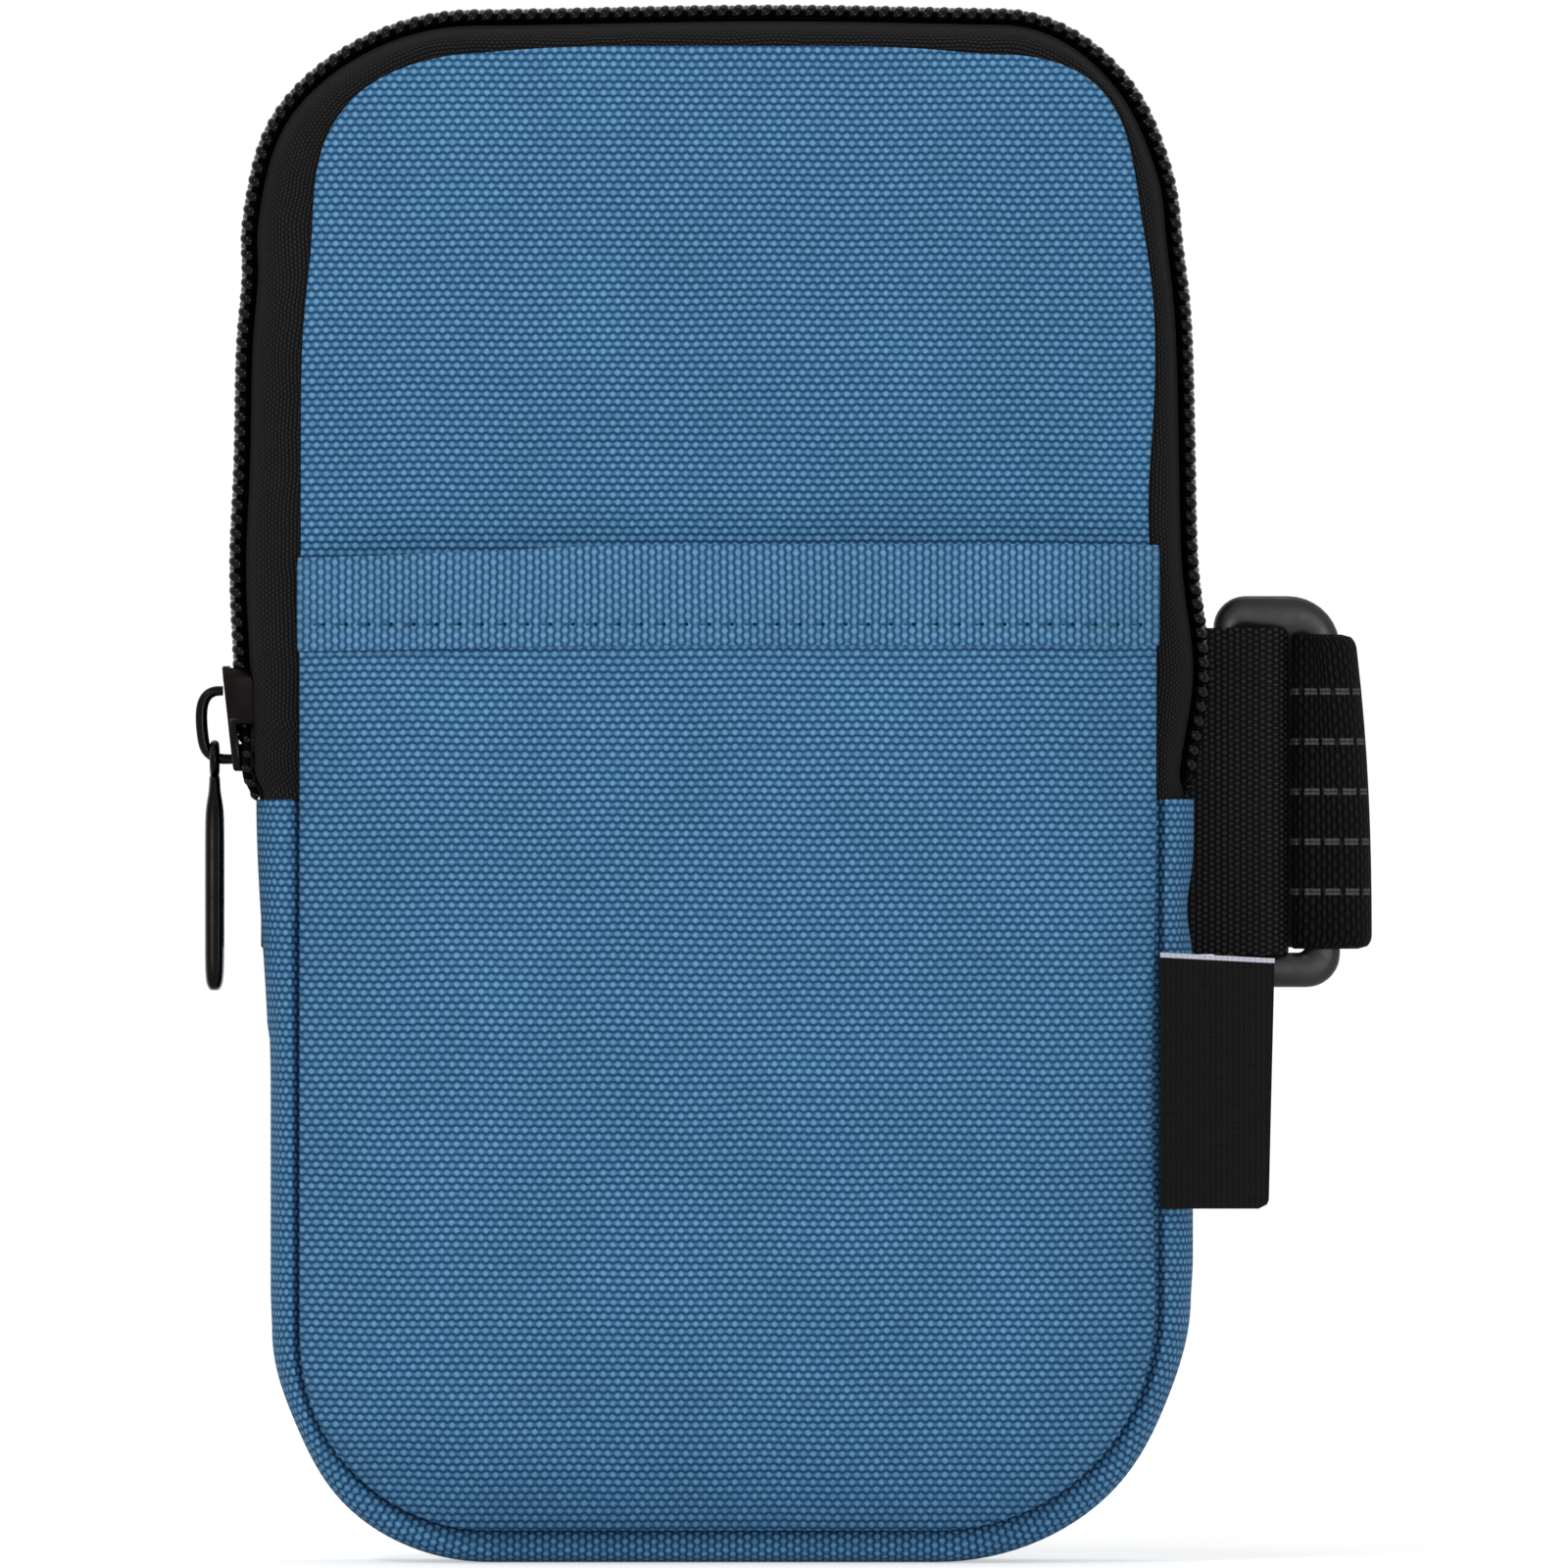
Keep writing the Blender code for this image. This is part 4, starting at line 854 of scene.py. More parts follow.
class POUCH_OT_pads(bpy.types.Operator):
    """Build the padded front and back panels"""

    bl_idname = "pouch.pads"
    bl_label = "Padded panels"

    def execute(self, context):
        body = settings("body")
        high_radius = max(body.top_left, body.top_right)
        low_radius = max(body.bottom_left, body.bottom_right)
        rows = cloth_heights(body.bottom, body.top, low_radius, high_radius)
        columns = [cloth_columns(z) for z in rows]
        for name, side, marks in (("front", -1, FRONT_MARKS), ("back", 1, BACK_MARKS)):

            def sheet(across, up):
                z = body.bottom + (body.top - body.bottom) * up
                x = edge_at(z, -1) + (edge_at(z, 1) - edge_at(z, -1)) * across
                return Vector((x, side * panel_depth(x, z, (), 0.8), z))

            swell = blown(sheet, 34, 58, 4.0 * -side, 1.1 * MM)

            def place(column, row):
                z, line = rows[row], columns[row]
                x = line[column]
                up = (z - body.bottom) / (body.top - body.bottom)
                move = swell((x - line[0]) / (line[-1] - line[0]), up)
                depth = side * panel_depth(x, z, marks, 0.85)
                spot = settled(x, z)
                return Vector((spot[0], depth + move.y, spot[1]))

            mesh = grid_mesh(len(columns[0]) - 1, len(rows) - 1, place)
            verts, faces = second_side(mesh)
            middle = (body.top + body.bottom) / 2
            for vert in verts:
                vert.co.x *= 1 - body.lining_inset / body.left
                vert.co.z = middle + (vert.co.z - middle) * (1 - body.lining_inset / middle)
                vert.co.y = side * body.lining
            for face in faces:
                face.material_index = 1
            bmesh.ops.recalc_face_normals(mesh, faces=mesh.faces)
            finishes = [blue_cloth("blue_cloth_" + name), lining_cloth("lining_" + name)]
            nodes = [name + "_panel", name + "_foam", name + "_lining"]
            pad = piece(name + "_pad", mesh, "pouch", nodes, finishes, 1)
        return {"FINISHED"}


# Seam tapes inside

def panel_corners():
    """Centre, radius and first angle of each corner, from the lower left one round."""
    body = settings("body")
    for side_x, side_z, radius, start in (
        (-1, -1, body.bottom_left, 180), (1, -1, body.bottom_right, 270),
        (1, 1, body.top_right, 0), (-1, 1, body.top_left, 90),
    ):
        x = -body.left + radius if side_x < 0 else body.right - radius
        z = body.bottom + radius if side_z < 0 else body.top - radius
        yield (x, z), radius, start


class POUCH_OT_seam_tapes(bpy.types.Operator):
    """Build the binding over the two inner seams"""

    bl_idname = "pouch.seam_tapes"
    bl_label = "Inner seam tapes"

    def execute(self, context):
        body = settings("body")
        for name, side in (("front", -1), ("back", 1)):
            inset, width, thick = body.lining_inset + 0.5 * MM, 2.8 * MM, 0.9 * MM
            near = side * (body.lining - 0.3 * MM)
            rings = []
            for (centre_x, centre_z), radius, start in panel_corners():
                for turn in range(0, 91, 10):
                    spoke = math.radians(start + turn)
                    across, up = math.cos(spoke), math.sin(spoke)
                    ring = []
                    for step in range(12):
                        angle = 2 * math.pi * step / 12
                        reach = radius - inset - width / 2 * (1 + math.cos(angle))
                        depth = near - side * thick / 2 * (1 + math.sin(angle))
                        x, z = centre_x + reach * across, centre_z + reach * up
                        ring.append(Vector((shouldered(x, z), depth, z)))
                    rings.append(ring)
            rings.append(rings[0])
            marks = path_marks([ring[0] for ring in rings])
            mesh = loft(rings, marks, closed=True)[0]
            bmesh.ops.remove_doubles(mesh, verts=mesh.verts, dist=0.01 * MM)
            finish = ribbed_finish(
                "seam_tape_" + name, "marks", 0.8 * MM, 0.5 * MM, settings("cloth").lining,
                settings("cloth").black_dark, 0.05 * MM,
            )
            nodes = ["seam_binding_" + name]
            piece("seam_tape_" + name, mesh, "pouch", nodes, [finish])
        return {"FINISHED"}


# Strip round the bottom

# Edge of the strip turned in under the panel: millimetres outside the panel's edge, and share
# of the strip's half depth
STRIP_LIP = ((-2.2, 0.965), (-0.6, 0.86), (0.2, 0.86), (0.42, 0.93))
# Where the strip is flatter above each lower corner, as angles round the pouch
PINCHES, PINCH_SPREAD = (204, 339), 19


def side_value(normal_x, normal_z, left, right, end):
    """Value that passes smoothly from a side to the end round a corner."""
    return (left if normal_x < 0 else right) * normal_x ** 2 + end * normal_z ** 2


def strip_places():
    """Places along the strip: x, z, outward normal and bulge."""
    body, strip = settings("body"), settings("strip")
    places = []
    low_left, low_right = body.bottom + body.bottom_left, body.bottom + body.bottom_right

    def bulge_at(z, side):
        share = (strip.top - z) / strip.taper
        full, end = (strip.left, strip.end) if side < 0 else (strip.right, strip.end_right)
        step = 0.2 * MM * (1 if z > strip.top - strip.fold else 0)
        ripple = 0.8 * MM * hump(z, 77.0 * MM, 4.0 * MM) if side > 0 else 0.0
        corner = low_left if side < 0 else low_right
        drawn = pinch(180 if side < 0 else 360) * eased((corner + 6.0 * MM - z) / (6.0 * MM))
        return end + (full - end) * eased(share) + step * (side < 0) - ripple - drawn

    def pinch(angle):
        return strip.pinch * hump(angle, PINCHES[angle >= 270], PINCH_SPREAD)

    for step in range(37):
        z = strip.top + (low_left - strip.top) * step / 36
        places.append((-body.left, z, -1.0, 0.0, bulge_at(z, -1)))
    for (centre_x, centre_z), radius, start in list(panel_corners())[:2]:
        for turn in range(3 if start == 180 else 0, 90 if start == 270 else 91, 3):
            angle = math.radians(start + turn)
            normal = (math.cos(angle), math.sin(angle))
            bulge = side_value(*normal, strip.left, strip.right, strip.bottom)
            fade = eased((90 - turn if start == 180 else turn) / 16)
            bulge -= fade * pinch(start + turn)
            x, z = centre_x + radius * normal[0], centre_z + radius * normal[1]
            places.append((x, z, *normal, bulge))
        if start == 180:
            first = -body.left + body.bottom_left
            last = body.right - body.bottom_right
            for step in range(1, 14):
                x = first + (last - first) * step / 14
                places.append((x, body.bottom, 0.0, -1.0, strip.bottom))
    for step in range(37):
        z = low_right + (strip.top - low_right) * step / 36
        places.append((body.right, z, 1.0, 0.0, bulge_at(z, 1)))
    return places


def at_rim(place, depth, rise):
    """Point at a depth and a rise outside the panels' edge."""
    x, z, normal_x, normal_z = place[:4]
    height = z + normal_z * rise
    return Vector((shouldered(x + normal_x * rise, height), depth, height))


class POUCH_OT_strip(bpy.types.Operator):
    """Build the strip round the lower sides and the bottom"""

    bl_idname = "pouch.strip"
    bl_label = "Bottom strip"

    def execute(self, context):
        strip = settings("strip")
        places = strip_places()
        rings = []
        outer_count = 25
        for place in places:
            outer, inner = [], []
            square = 2.2 + 2.4 * place[3] ** 2
            for rise, share in STRIP_LIP:
                outer.append(at_rim(place, -strip.edge * share, rise * MM))
            for step in range(outer_count):
                turn = math.radians(-84 + 168 * step / (outer_count - 1))
                share = math.sin(turn)
                rise = (1 - abs(share) ** square) ** (1 / square)
                lift = 0.45 * MM
                outer.append(at_rim(place, strip.edge * share, lift + (place[4] - lift) * rise))
            for rise, share in reversed(STRIP_LIP):
                outer.append(at_rim(place, strip.edge * share, rise * MM))
            for step in range(9):
                share = 1 - step / 4
                deep = (strip.edge * 0.78 - strip.thickness * 0.6) * share
                rise = (1 - abs(share) ** square) ** (1 / square)
                high = (place[4] - strip.thickness) * rise - 0.9 * MM * (1 - rise)
                inner.append(at_rim(place, deep, high))
            rings.append(outer + inner)
        marks = path_marks([(place[0], place[1]) for place in places])
        mesh = loft(rings, marks)[0]
        finish = blue_cloth("blue_cloth_strip", "marks", swap=True)
        gusset = piece(
            "bottom_strip", mesh, "pouch", ["bottom_gusset", "gusset_lining"], [finish],
            smooth=60.0,
        )
        return {"FINISHED"}


# Pocket

# Swells and dents of the pocket cloth, as for the panels
POCKET_MARKS = (
    (-34.0, 100.0, 14.0, 6.0, 0.25), (-8.0, 97.0, 10.0, 6.0, -0.3),
    (22.0, 99.0, 14.0, 6.0, 0.22), (-38.0, 84.0, 9.0, 12.0, 0.35),
    (-22.0, 70.0, 14.0, 14.0, 0.2), (20.0, 60.0, 22.0, 20.0, -0.25),
    (34.0, 88.0, 10.0, 12.0, -0.25), (-25.0, 40.0, 16.0, 14.0, -0.2),
    (10.0, 28.0, 24.0, 8.0, 0.25),
)
# Section of the mouth band, from its lower edge round its top and back inside: share of the
# band's thickness behind the pocket's face, the height it is near, and millimetres above that
BAND_SECTION = (
    (-0.2, "low", 0.0), (-0.85, "low", 0.12), (-1.0, "low", 0.5), (-1.15, "half", 0.0),
    (-0.95, "seam", -0.5), (-0.6, "seam", 0.0), (-1.0, "seam", 0.6), (-1.3, "seam", 1.8),
    (-1.4, "middle", 0.0), (-1.3, "high", -2.0), (-1.1, "high", -0.6), (-0.5, "high", -0.1),
    (0.6, "high", 0.05), (1.9, "high", -0.25), (2.4, "high", -0.9), (2.5, "middle", 0.0),
    (2.5, "low", 1.0), (1.5, "low", 0.8), (1.4, "high", -1.3), (0.4, "high", -1.3),
    (0.1, "middle", 0.0), (0.1, "low", 0.5),
)
BAND_GROOVE = 5
# One stitch: share of its length and depth under the groove in millimetres
STITCH_ARCH = ((0.0, 0.4), (0.08, 0.05), (0.18, -0.09), (0.36, -0.09), (0.46, 0.05), (0.54, 0.4))
# Size of the dark blob of painted shade at each stitch hole
STITCH_HOLE = 0.22 * MM


def pocket_depth(x, z, fullness=1.0, marks=POCKET_MARKS):
    """Outer face of the pocket cloth."""
    body, pocket = settings("body"), settings("pocket")
    held = min(z, pocket.band_top)
    inset = rim_distance(x, held) + pocket.proud
    lift = eased((z - pocket.lift_start) / (pocket.band_bottom - pocket.lift_start))
    base = body.face + 0.8 * MM + pocket.lift * lift
    crown = body.crown * rounding(inset, body.crown_reach)
    room = pocket.room * fullness * rounding(inset, pocket.reach)
    soft = relief(x, z, marks) * rounding(inset, MARK_FADE)
    return base + crown + room + soft - rolled(inset, 1.3 * MM)


def band_shift(x):
    """How far the mouth band lies above its left end."""
    pocket = settings("pocket")
    return pocket.band_rise * eased((x + 52.0 * MM) / (48.0 * MM))


class POUCH_OT_pocket(bpy.types.Operator):
    """Build the slip pocket and the band round its mouth"""

    bl_idname = "pouch.pocket"
    bl_label = "Slip pocket"

    def execute(self, context):
        body, pocket = settings("body"), settings("pocket")
        radius = max(body.bottom_left, body.bottom_right)
        top = pocket.band_top - 1.5 * MM
        rows = cloth_heights(body.bottom, top, radius, 0.0)
        columns = [cloth_columns(z, pocket.proud) for z in rows]

        def sheet(across, up):
            z = body.bottom + (top - body.bottom) * up
            left, right = edge_at(z, -1), edge_at(z, 1)
            x = left + (right - left) * across
            return Vector((x, -pocket_depth(x, z, 0.85, ()), z))

        swell = blown(sheet, 34, 40, 4.0, 0.9 * MM)

        def place(column, row):
            z, line = rows[row], columns[row]
            x = line[column]
            up = (z - body.bottom) / (top - body.bottom)
            move = swell((x - line[0]) / (line[-1] - line[0]), up)
            height = z - pocket.proud * (1 - up)
            low = pocket.lift_start
            rise = 0.45 * band_shift(x) * eased((z - low) / (pocket.band_bottom - low - 0.1 * MM))
            inward = drawn_in(x, min(z, 90.0 * MM))
            return Vector((x - inward, -pocket_depth(x, z, 0.92) + move.y, height + rise))

        mesh = grid_mesh(len(columns[0]) - 1, len(rows) - 1, place)
        for vert in second_side(mesh)[0]:
            vert.co.x *= 1 - pocket.cloth / body.left
            vert.co.y += pocket.cloth
        bmesh.ops.recalc_face_normals(mesh, faces=mesh.faces)
        cloth = piece(
            "pocket_cloth", mesh, "pouch", ["pocket_panel"], [blue_cloth("blue_cloth_pocket")],
            1,
        )
        self.band()
        self.stitches()
        return {"FINISHED"}

    def band_line(self, x):
        """Section of the band at a place across: y and z, with its place round the section."""
        pocket = settings("pocket")
        shift = band_shift(x)
        low, high = pocket.band_bottom + shift * 0.45, pocket.band_top + shift
        seam, proud = pocket.stitch_height, pocket.band_proud
        front = -pocket_depth(x, pocket.band_bottom)
        heights = {"low": low, "seam": seam, "middle": (seam + high) / 2, "high": high,
                   "half": (low + seam) / 2}
        return [(front + proud * share, heights[key] + up * MM) for share, key, up in BAND_SECTION]

    def band(self):
        """Band of cloth folded over the pocket's mouth."""
        body, pocket = settings("body"), settings("pocket")
        grow = pocket.proud + 0.25 * MM
        columns = cloth_columns(pocket.band_bottom, grow)
        rings = []
        for x in columns:
            held = min(max(x, -body.left - pocket.proud), body.right + pocket.proud)
            beyond = abs(x - held)
            rings.append([Vector((x, y + beyond * 2, z)) for y, z in self.band_line(held)])
        mesh = loft(rings, columns)[0]
        wide = path_marks(rings[len(rings) // 2])[-1] / 2
        band = piece(
            "pocket_band", mesh, "pouch", ["pocket_binding"],
            [blue_cloth("blue_cloth_band", swap=True, band=True)], 1, 60.0,
        )

    def stitches(self):
        """Stitch line along the band, with dark blobs of painted shade at its stitch holes."""
        body, pocket = settings("body"), settings("pocket")
        lines, holes = [], []
        x = -body.left + 1.5 * MM
        while x < body.right - 1.5 * MM:
            line = []
            for share, deep in STITCH_ARCH:
                place = x + pocket.stitch_pitch * share
                y, z = self.band_line(place)[BAND_GROOVE]
                line.append((place, y + deep * MM, z))
            holes.append((line[-1][0], line[-1][1] - 0.48 * MM, line[-1][2]))
            lines.append(line)
            x += pocket.stitch_pitch
        mesh = wire_mesh(lines, pocket.stitch_thread / 2)
        thread = smooth_finish("stitch_thread", (34, 88, 112), 0.7, 0.2)
        piece("band_stitches", mesh, "pouch", [], [thread])
        # Dark blobs at the stitch holes: painted shade in the holes.
        mesh = bmesh.new()
        for place in holes:
            made = bmesh.ops.create_uvsphere(mesh, u_segments=8, v_segments=5, radius=STITCH_HOLE)
            made = made["verts"]
            bmesh.ops.scale(mesh, verts=made, vec=(1.1, 0.45, 1.0))
            bmesh.ops.translate(mesh, verts=made, vec=place)
        dark = smooth_finish("stitch_hole_shade", (12, 34, 52), 0.9, 0.1)
        piece("band_stitch_hole_shade", mesh, "pouch", [], [dark])


# Zip

def zip_place(key, share):
    """Place at a share of one stretch of the zip: x, z and outward normal."""
    body, zipper = settings("body"), settings("zip")
    left_end, right_end = body.top - body.top_left, body.top - body.top_right
    if key == "left":
        return (-body.left, zipper.bottom + (left_end - zipper.bottom) * share, -1.0, 0.0)
    if key == "right":
        return (body.right, right_end + (zipper.bottom - right_end) * share, 1.0, 0.0)
    start, stop = -body.left + body.top_left, body.right - body.top_right
    if key == "top":
        return (start + (stop - start) * share, body.top, 0.0, 1.0)
    side = -1 if key == "left_corner" else 1
    radius = body.top_left if side < 0 else body.top_right
    turn = math.radians(180 - 90 * share if side < 0 else 90 - 90 * share)
    centre_x = start if side < 0 else stop
    normal = (math.cos(turn), math.sin(turn))
    return (centre_x + radius * normal[0], body.top - radius + radius * normal[1], *normal)


# Swells of the zip's two sides: height, spread and rise
SHOULDER_SWELLS = {
    -1: (156.5 * MM, 4.2 * MM, 0.8 * MM), 1: (160.5 * MM, 5.0 * MM, 0.65 * MM),
}
SIDE_SWELLS = {-1: (117.0 * MM, 10.0 * MM, 0.6 * MM), 1: (121.0 * MM, 22.0 * MM, 0.55 * MM)}
ARCH_MIDDLE, ARCH_SPREAD, ARCH_LOW = 5.0 * MM, 26.0 * MM, 0.3


def zip_bulge(place):
    """How far the coil's outer face stands past the panels' edge."""
    zipper = settings("zip")
    full = side_value(place[2], place[3], zipper.left, zipper.right, zipper.top)
    pinch = zipper.left_pinch if place[2] < 0 else zipper.right_pinch
    full -= pinch * (2 * place[2] * place[3]) ** 2
    full += zipper.arch * (hump(place[0], ARCH_MIDDLE, ARCH_SPREAD) - ARCH_LOW) * place[3] ** 8
    side = -1 if place[2] < 0 else 1
    height, spread, rise = SHOULDER_SWELLS[side]
    full += rise * hump(place[1], height, spread) * place[2] ** 2
    if place[3]:
        return full
    height, spread, rise = SIDE_SWELLS[side]
    full += rise * hump(place[1], height, spread)
    if side > 0:
        full += zipper.swell * hump(place[1], zipper.swell_height, zipper.swell_spread)
    end = zipper.end if side > 0 else zipper.left_end
    return end + (full - end) * eased((place[1] - zipper.bottom) / zipper.end_taper)


def parting(place):
    """How far each half of the zip lies off the centre line below the slider."""
    zipper = settings("zip")
    if place[2] != -1.0:
        return 0.0
    return zipper.parting * eased((zipper.shoulder - place[1]) / zipper.parting_length)


def zip_line(samples=60):
    """Finely spaced places along the zip, with the coil's length up to each."""
    places = []
    for key in ("left", "left_corner", "top", "right_corner", "right"):
        places += [zip_place(key, step / samples) for step in range(samples)]
    places.append(zip_place("right", 1.0))
    middles = [at_rim(place, 0.0, zip_bulge(place) - 1.1 * MM) for place in places]
    return places, path_marks(middles)


def zip_at(line, run):
    """Place at a length along the zip."""
    places, lengths = line
    low, high = 1, len(lengths) - 1
    while low < high:
        middle = (low + high) // 2
        if lengths[middle] < run:
            low = middle + 1
        else:
            high = middle
    share = (run - lengths[low - 1]) / (lengths[low] - lengths[low - 1])
    x, z, normal_x, normal_z = (a + (b - a) * share for a, b in zip(places[low - 1], places[low]))
    scale = math.hypot(normal_x, normal_z)
    if abs(normal_z) < 1e-6:
        normal_z = 0.0
    return (x, z, normal_x / scale, normal_z / scale)


# Sections along a tape, its level part under the coil in millimetres off the centre line, and
# how far its ends reach down into the strip
TAPE_STEPS = 260
TAPE_FLAT = (0.5, 1.7, 3.0)
TAPE_TUCK = 0.32 * MM


class POUCH_OT_tapes(bpy.types.Operator):
    """Build the two zip tapes"""

    bl_idname = "pouch.tapes"
    bl_label = "Zip tapes"

    def execute(self, context):
        strip, zipper, cloth = settings("strip"), settings("zip"), settings("cloth")
        line = zip_line()
        whole = line[1][-1]
        count = TAPE_STEPS
        for name, side in (("front", -1), ("back", 1)):
            rings, marks = [], []
            for step in range(count + 1):
                run = whole * step / count
                place = zip_at(line, run)
                top = zip_bulge(place) - zipper.tape_drop
                shift = parting(place)
                high = top + 0.45 * MM
                points = [(depth * MM + shift, high) for depth in TAPE_FLAT]
                for turn in range(0, 91, 10):
                    angle = math.radians(turn)
                    start = 4.4 * MM + shift / 3
                    depth = start + (strip.edge - start) * math.sin(angle)
                    points.append((depth, top * math.cos(angle) ** 0.9))
                points.append((strip.edge, -2.6 * MM))
                thick = zipper.tape
                under = [(points[0][0], top - thick), (points[2][0], top - thick)]
                under += [(depth - thick * 0.6, rise - thick * 0.8) for depth, rise in points[3:-1]]
                under.append((strip.edge - thick, -2.6 * MM))
                section = points + under[::-1]
                rings.append([at_rim(place, side * depth, rise) for depth, rise in section])
                marks.append(run)
            for point in rings[0] + rings[-1]:
                point.z -= TAPE_TUCK
            mesh = loft(rings, marks)[0]
            finish = woven_finish(
                "tape_" + name, "marks", 0.3 * MM, 0.46 * MM, cloth.tape_light, cloth.tape_dark,
                0.12 * MM, wander=2.4, under=0.45, roughness=0.9, specular=0.08,
            )
            node = "zip_tape_" + name
            tape = piece(
                node + "_cloth", mesh, "pouch", [node], [finish], smooth=50.0,
            )
            wide = path_marks(rings[count // 2][:len(points)])[-1]
        return {"FINISHED"}


# Points on one turn of the coil, and how far a turn reaches over the centre line
COIL_SAMPLES = 24
COIL_OVERLAP = 0.55 * MM


def sunk(place):
    """Share of the way down that the coil lies below the slider."""
    return eased((settings("zip").shoulder - place[1]) / (4.0 * MM)) if place[2] == -1.0 else 0.0


class POUCH_OT_coil(bpy.types.Operator):
    """Build the two rows of the zip's coil"""

    bl_idname = "pouch.coil"
    bl_label = "Zip coil"

    def execute(self, context):
        zipper = settings("zip")
        line = zip_line()
        whole = line[1][-1]
        wire = zipper.wire / 2
        for name, side, lead in (("front", -1, 0.0), ("back", 1, 0.5)):
            path, core = [], []
            turns = int(whole / zipper.pitch) - 1
            for number in range(turns * COIL_SAMPLES + 1):
                turn = number / COIL_SAMPLES
                place = zip_at(line, (turn + lead) * zipper.pitch)
                angle = 2 * math.pi * turn
                out = 0.5 + 0.5 * math.cos(angle)
                reach = zipper.half_width - wire * 1.3 + COIL_OVERLAP
                depth = -COIL_OVERLAP + reach * out ** 0.85
                lean = 0.28 * MM * out
                rise = zipper.height / 2 + (zipper.height / 2 - wire) * math.sin(angle)
                rise += lean - 0.28 * MM
                below = sunk(place)
                top = zip_bulge(place) - zipper.height - 0.7 * MM * below
                spot = at_rim(place, side * (depth + parting(place)), top + rise)
                path.append((*spot, (0.95 + 0.5 * out) * (1 - 0.3 * below)))
            for number in range(turns * 2 + 1):
                place = zip_at(line, (number / 2 + lead) * zipper.pitch)
                below = sunk(place)
                top = zip_bulge(place) - zipper.height * 0.52 - 0.35 * MM * below
                core.append(at_rim(place, side * (1.75 * MM + parting(place)), top))
            mesh = wire_mesh([path], wire, 12)
            finish = smooth_finish("coil_" + name, (5, 5, 6), 0.1, 0.12)
            piece("zip_coil_" + name, mesh, "pouch", ["zip_chain_" + name], [finish],
                  smooth=80.0)
            mesh = wire_mesh([core], 0.55 * MM, 6)
            finish = smooth_finish("core_" + name, (6, 6, 7), 0.9, 0.05)
            piece("zip_core_" + name, mesh, "pouch", [], [finish], smooth=80.0)
        return {"FINISHED"}


# The bail from its upper end to its lower one: share of the way down and share of its reach out
BAIL_LINE = (
    (0.0, 0.0), (0.0, 0.35), (0.03, 0.62), (0.1, 0.84), (0.2, 0.96), (0.32, 1.0), (0.45, 1.0),
    (0.6, 0.97), (0.75, 0.93), (0.87, 0.86), (0.95, 0.7), (1.0, 0.45), (1.0, 0.2), (1.0, 0.0),
)
# The pull from its neck down: place in millimetres, shares of its width and thickness, and groove
PULL_RINGS = (
    (4.0, 0.62, 0.5, 0.0), (4.4, 0.7, 0.54, 0.0), (5.6, 0.74, 0.56, 0.0), (6.6, 0.8, 0.7, 0.1),
    (7.6, 0.86, 0.88, 0.25), (9.0, 0.92, 0.98, 0.3), (12.0, 0.96, 1.0, 0.3),
    (18.0, 1.0, 1.0, 0.3), (25.0, 1.0, 1.0, 0.3), (27.4, 0.97, 0.97, 0.25),
    (28.6, 0.88, 0.85, 0.1), (29.2, 0.7, 0.6, 0.0), (29.45, 0.45, 0.35, 0.0),
)


def squarish(count, power):
    """Points round a circle of radius 1 that is drawn out towards a square."""
    for step in range(count):
        turn = 2 * math.pi * step / count
        spoke = (math.cos(turn), math.sin(turn))
        yield [math.copysign(abs(value) ** power, value) for value in spoke]


def gunmetal(name):
    """Polished black nickel."""
    return smooth_finish(name, (25, 22, 22), 0.26, metallic=1.0, grain=0.000004)


class POUCH_OT_slider(bpy.types.Operator):
    """Finish the slider and build its bail"""

    bl_idname = "pouch.slider"
    bl_label = "Zip slider"

    def execute(self, context):
        zipper = settings("zip")
        mesh = bmesh.new()
        mesh.from_mesh(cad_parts["slider_body"].data)
        bmesh.ops.remove_doubles(mesh, verts=mesh.verts, dist=0.01 * MM)
        bmesh.ops.dissolve_limit(
            mesh, angle_limit=math.radians(1), verts=mesh.verts, edges=mesh.edges,
        )
        low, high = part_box("slider_body")
        for vert in mesh.verts:
            down = (high.z - vert.co.z) / (high.z - low.z)
            flange = eased((vert.co.x - low.x - 1.2 * MM) / (0.8 * MM))
            down = min(down, 1.0 - 0.44 * flange)
            vert.co.x += zipper.slider_lean * (down - 0.15) * (1 + 1.6 * flange)
        sharp = [edge for edge in mesh.edges if edge.calc_face_angle(0.0) > math.radians(25)]
        bmesh.ops.bevel(
            mesh, geom=sharp, offset=0.22 * MM, offset_type="OFFSET", affect="EDGES", segments=3,
            profile=0.5, material=-1, clamp_overlap=True,
        )
        metal = [gunmetal("slider_metal")]
        piece("slider_shell", mesh, "slider", ["slider_body"], metal, smooth=50.0)
        low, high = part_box("slider_bail")
        wire = settings("zip").bail_wire / 2
        left, right = low.x + wire, high.x + 0.2 * MM
        points = []
        for share, out in BAIL_LINE:
            z = high.z - wire - (high.z - low.z - 2 * wire) * share
            lean = zipper.slider_lean * share * (1 - out)
            points.append((right + (left - right) * out + lean, 0.0, z, 0.88 + 0.2 * out))
        mesh = wire_mesh([points], wire, 12)
        metal = [gunmetal("bail_metal")]
        piece("bail_wire", mesh, "slider", ["slider_bail"], metal, 1, 80.0)
        return {"FINISHED"}


